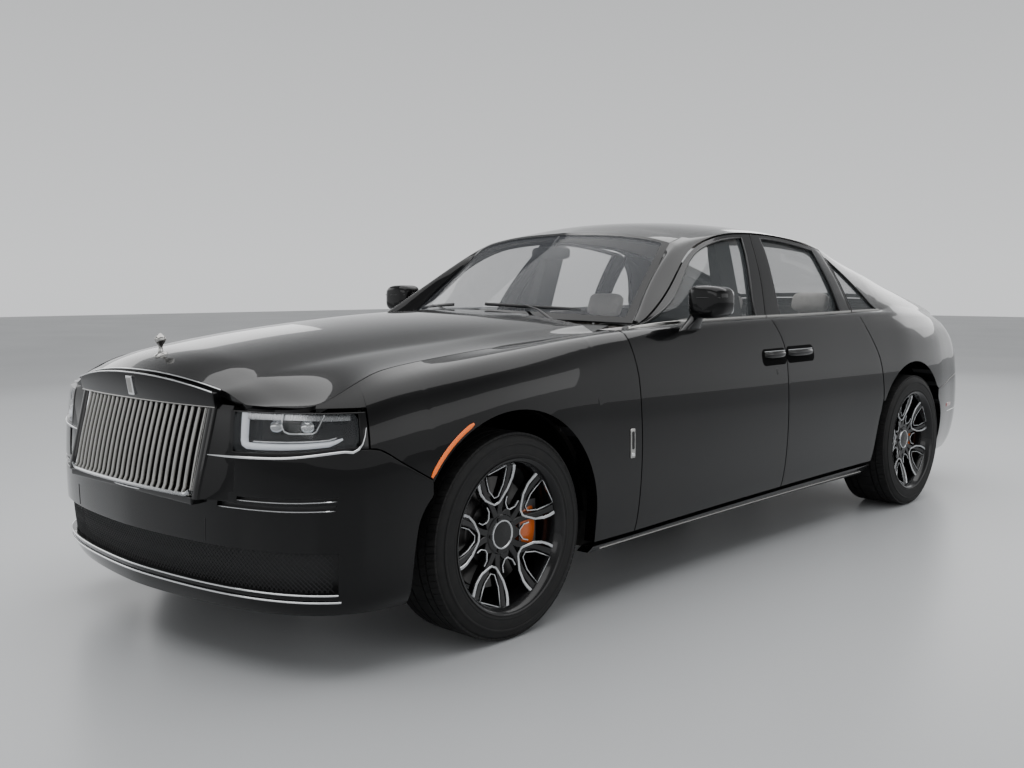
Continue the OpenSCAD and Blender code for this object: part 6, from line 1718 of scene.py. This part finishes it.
for k, (x, w) in enumerate(((-400, 196), (0, 196), (400, 196))):
    base = cushion(f"rear_seat_base_{k}", [x, REAR_BACK_Y - 139, 478], [w + 2, 240, 98], 0.28, "body", crown=14)
    at = [x, REAR_BACK_Y, REAR_BACK_Z]
    back = cushion(f"rear_seat_back_{k}", on_tilt(at, REAR_TILT, [0, 52, 305]), [w, 52, 298], 0.32, "body",
                   tilt=REAR_TILT, crown=0)
    pads += [base, back]
    if k == 0:
        stands_for(base, "rear_seat")
    for n, dx in enumerate((-90, 0, 90)):
        line = on_tilt(at, REAR_TILT, [[dx, -8, z] for z in linspace(110, 520, 12)])
        tube(f"rear_back_seam_{k}_{n}", line, 2.4, DASH, "body", sides=6)
for name, right in SIDES:
    m = -1 if right else 1
    at = [350 * m, REAR_BACK_Y, REAR_BACK_Z]
    rest = cushion(f"rear_headrest_{name}", on_tilt(at, REAR_TILT, [0, 50, 706]), [126, 42, 66], 0.4, "body",
                   tilt=REAR_TILT, crown=0, columns=40, rows=24)
    pads.append(rest)
    for k, x in enumerate((-55, 55)):
        tube(f"rear_headrest_post_{k}_{name}", on_tilt(at, REAR_TILT, [[x, 50, 585], [x, 50, 680]]), 6, BRIGHT, "body")
for pad in pads:
    puffed(pad, cap=14.0)

# dashboard: padded top, veneered face, hood over the dials, vents and screen
rows = []
for x in linspace(-630, 630, 44):
    bow = 26 * (x / 630) ** 2
    hood = 34 * exp(-((x - 375) / 150) ** 4)
    rows.append([[x, -905, 700], [x, -912, 975], [x, -900, 985], [x, -840 + bow, 986],
                 [x, -760 + bow, 984 + hood * 0.5], [x, -690 + bow * 0.8, 968 + hood],
                 [x, -655 + bow * 0.8, 946 + hood], [x, -642 + bow * 0.6, 925],
                 [x, -628 + bow * 0.6, 905], [x, -600 + bow * 0.4, 820],
                 [x, -596 + bow * 0.4, 780], [x, -612, 700], [x, -650, 630], [x, -700, 620], [x, -880, 620]])
rows = array(rows)
for k in range(2):
    rows[:, 1:-1] = (rows[:, :-2] + 2 * rows[:, 1:-1] + rows[:, 2:]) / 4
made = loft("dashboard_pad", rows, DASH, "body", smooth=50, slot="dash_plastic")
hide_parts("dashboard")
panel("dashboard_veneer", rows[3:-3, 8:10] - [0, -1, 0], rows[3:-3, 8:10] + [0, -8, 0], "body",
      materials=[WOOD, SATIN], bevel=1, slot="dash_plastic")
for k, x in enumerate((-540, -110, 110, 560)):
    soft_box(f"dash_vent_{k}", [x, -622, 866], [52, 14, 22], 0.3, 32, 16, SATIN, "body", slot="dash_plastic")
    tube(f"dash_vent_ring_{k}", [[x + 52 * np.sign(cos(a)) * abs(cos(a)) ** 0.4, -606,
                                  866 + 22 * np.sign(sin(a)) * abs(sin(a)) ** 0.4]
                                 for a in turns(40)], 2.5, BRIGHT, "body", closed=True, sides=6)
block("dash_screen", (-150, -628, 800), (150, -616, 905), GLOSS, "body", bevel=5, slot="dash_plastic")
block("dial_screen", (255, -668, 880), (495, -652, 962), GLOSS, "body", bevel=6, slot="dash_plastic")
block("console_box", (-132, -600, 345), (132, 325, 556), DASH, "body", bevel=24, slot="dash_plastic",
      taper=(0.86, 0.98))
block("console_lid", (-100, -120, 552), (100, 280, 572), HIDE, "body", bevel=9, slot="seat_leather")
block("console_veneer", (-96, -560, 552), (96, -150, 560), WOOD, "body", bevel=3, slot="dash_plastic")
block("centre_stack", (-135, -700, 500), (135, -590, 800), DASH, "body", bevel=20, slot="dash_plastic", shear=20)
column = [[375, -430 - 40 * 0.9135, 905 - 40 * 0.4067], [375, -430 - 210 * 0.9135, 905 - 210 * 0.4067]]
tube("steering_column", column, 36, DASH, "body", sides=24, slot="dash_plastic")

# steering wheel: leather rim, three spokes and a domed boss
rake = radians(24)
out_x, out_y = array([1.0, 0, 0]), array([0, -sin(rake), cos(rake)])
out_z = array([0, cos(rake), sin(rake)])
hub = array([375.0, -430, 905])
ring = [hub + 178.5 * (cos(a) * out_x + sin(a) * out_y) for a in turns(64)]
made = tube("steering_rim", ring, 13.5, DASH, "steering_wheel", closed=True, sides=16, slot="dash_plastic",
            up=tuple(out_z))
stands_for(made, "steering_wheel")
boss, more = turned([(-26, 58), (-4, 61), (8, 58), (13, 44), (14, 20), (14, 0.1)], 48)
boss = hub + boss[:, :1] * out_z + boss[:, 1:2] * out_x + boss[:, 2:3] * out_y
mesh("steering_boss", boss, more, DASH, "steering_wheel", slot="dash_plastic")
for k, a in enumerate((0, 180, 270)):
    a = radians(a)
    way = cos(a) * out_x + sin(a) * out_y
    beam = [hub + way * r + out_z * (-2 + 4 * (r < 90)) for r in linspace(48, 172, 8)]
    tube(f"steering_spoke_{k}", beam, 11, BRIGHT if k == 2 else DASH, "steering_wheel", up=tuple(out_z),
         flat=(1.1, 0.5), sides=12)

# carpets in the cabin and the boot, rear shelf
block("cabin_carpet_front", (-600, -1130, 213), (600, 690, 221), CARPET, "body", bevel=2, slot="dash_plastic")
block("boot_carpet", (-495, 1300, 465), (495, 2565, 471), CARPET, "body", bevel=2, slot="dash_plastic")
shelf = [[[x, y, 1010 + 40 * (y - 1270) / 600] for y in linspace(1270, 1900, 8)] for x in linspace(-520, 520, 12)]
shelf = array(shelf)
panel("rear_shelf", shelf, shelf - [0, 0, 12], "body", materials=[DASH, DASH], bevel=3, slot="dash_plastic")
# inner mirror on the windscreen
stem = [[0, -455, 1478], [0, -500, 1440], [0, -515, 1412]]
tube("cabin_mirror_stem", stem, 8, SATIN, "body", slot="black_plastic")
soft_box("cabin_mirror", [0, -520, 1398], [118, 16, 32], 0.5, 36, 18, GLOSS, "body", slot="black_plastic")
# armrest, pull and speaker ring on each door
for name, right in SIDES:
    for which, y0, y1 in (("front", -700, -160), ("rear", 250, 800)):
        door = f"{which}_door_{name}"
        middle = 0.5 * (y0 + y1)
        x = float(side(middle, level(middle, 760.0))[0]) - 120
        soft_box(f"{which}_armrest_{name}", [x - 22, middle, 700], [34, 0.5 * (y1 - y0), 34], 0.4, 40, 20, HIDE, door,
                 slot="seat_leather", smooth=60, right=right)
        pull = [[x - 6 - 20 * sin(pi * t), mix(y0 + 60, y0 + 220, t), 860 + 6 * t]
                for t in linspace(0, 1, 12)]
        tube(f"{which}_door_pull_{name}", pull, 8, BRIGHT, door, right=right, flat=(0.6, 1.2))
        ring = [[x - 3, middle + 70 * cos(a), 480 + 70 * sin(a)] for a in turns(40)]
        tube(f"{which}_speaker_ring_{name}", ring, 5, BRIGHT, door, closed=True, right=right, sides=8)

# rear plate
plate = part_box("rear_number_plate")
low, high = array(plate[0]) * 1000, array(plate[1]) * 1000
corner = []
for a in turns(32):
    corner.append([(np.sign(cos(a)) * 252 + 8 * cos(a)), (np.sign(sin(a)) * 48 + 8 * sin(a))])
corner = array(corner)
rings = [np.stack([corner[:, 0] * k, np.full(32, y), 520 + corner[:, 1] * (1 if k == 1 else 0.94)], -1)
         for k, y in ((1, low[1]), (1, high[1] - 1.2), (0.99, high[1] - 0.2), (0.975, high[1] - 1.0))]
made = loft("rear_plate_shape", rings, PLATE, "body", slot="plate")
stands_for(made, "rear_number_plate")
for k, x in enumerate((-150, 150)):
    points, faces = turned([(0, 7), (2.4, 7), (3.4, 5), (3.6, 0.1)], 24)
    points = np.stack([points[:, 1] + x, points[:, 0] + high[1] - 3.7, points[:, 2] + 520], -1)
    mesh(f"plate_screw_{k}", points, faces, BRIGHT, "body", slot="bright_metal")

# ---- floor, light and camera


def studio_floor():
    data = bpy.data.meshes.new("studio_floor")
    data.from_pydata([(-40, -40, 0), (40, -40, 0), (40, 40, 0), (-40, 40, 0)], [], [(0, 1, 2, 3)])
    floor = bpy.data.objects.new("studio_floor", data)
    bpy.context.scene.collection.objects.link(floor)
    f = Finish("pale_floor", (0.44, 0.45, 0.46), 0.3)
    haze = f.noise(0.5, 3)
    f.set("Roughness", 0.26 + 0.12 * haze)
    data.materials.append(f.material)


def lamp(name, at, toward, size, power, colour=(1, 1, 1)):
    light = bpy.data.lights.new(name, "AREA")
    light.shape, light.size, light.size_y = "RECTANGLE", size[0], size[1]
    light.energy, light.color = power, colour
    made = bpy.data.objects.new(name, light)
    bpy.context.scene.collection.objects.link(made)
    made.location = at
    made.rotation_euler = (Vector(toward) - Vector(at)).to_track_quat("-Z", "Y").to_euler()


studio_floor()
lamp("over_car", (0, 0, 6.5), (0, 0, 0), (9, 14), 900)
lamp("left_side", (9, 2, 3.2), (0, 0, 0.8), (12, 2.5), 130)
lamp("right_side", (-9, -1, 3.6), (0, 0, 0.8), (12, 2.5), 130)
lamp("front_end", (1, -11, 3.6), (0, 0, 0.8), (9, 2.5), 120)
lamp("rear_end", (-1, 11, 3.6), (0, 0, 0.8), (9, 2.5), 120)

world = bpy.data.worlds.new("studio_air")
world.use_nodes = True
# soft light that is strongest low down, all round
tree = world.node_tree
way, split, fade = (tree.nodes.new(f"ShaderNode{kind}") for kind in ("TexCoord", "SeparateXYZ", "MapRange"))
tree.links.new(way.outputs["Generated"], split.inputs[0])
tree.links.new(split.outputs["Z"], fade.inputs["Value"])
for socket, value in (("From Min", 0.02), ("From Max", 0.6), ("To Min", 1.15), ("To Max", 0.42)):
    fade.inputs[socket].default_value = value
tree.links.new(fade.outputs[0], tree.nodes["Background"].inputs["Strength"])
tree.nodes["Background"].inputs["Color"].default_value = (0.80, 0.81, 0.82, 1)
bpy.context.scene.world = world

lens = bpy.data.cameras.new("view")
lens.sensor_width, lens.lens = 36.0, 38.27
camera = bpy.data.objects.new("view", lens)
bpy.context.scene.collection.objects.link(camera)
ahead = Vector((-0.68059, 0.72703, -0.09063))
camera.location = (3.5066, -4.5416, 1.2451)
camera.rotation_euler = ahead.to_track_quat("-Z", "Y").to_euler()
bpy.context.scene.camera = camera
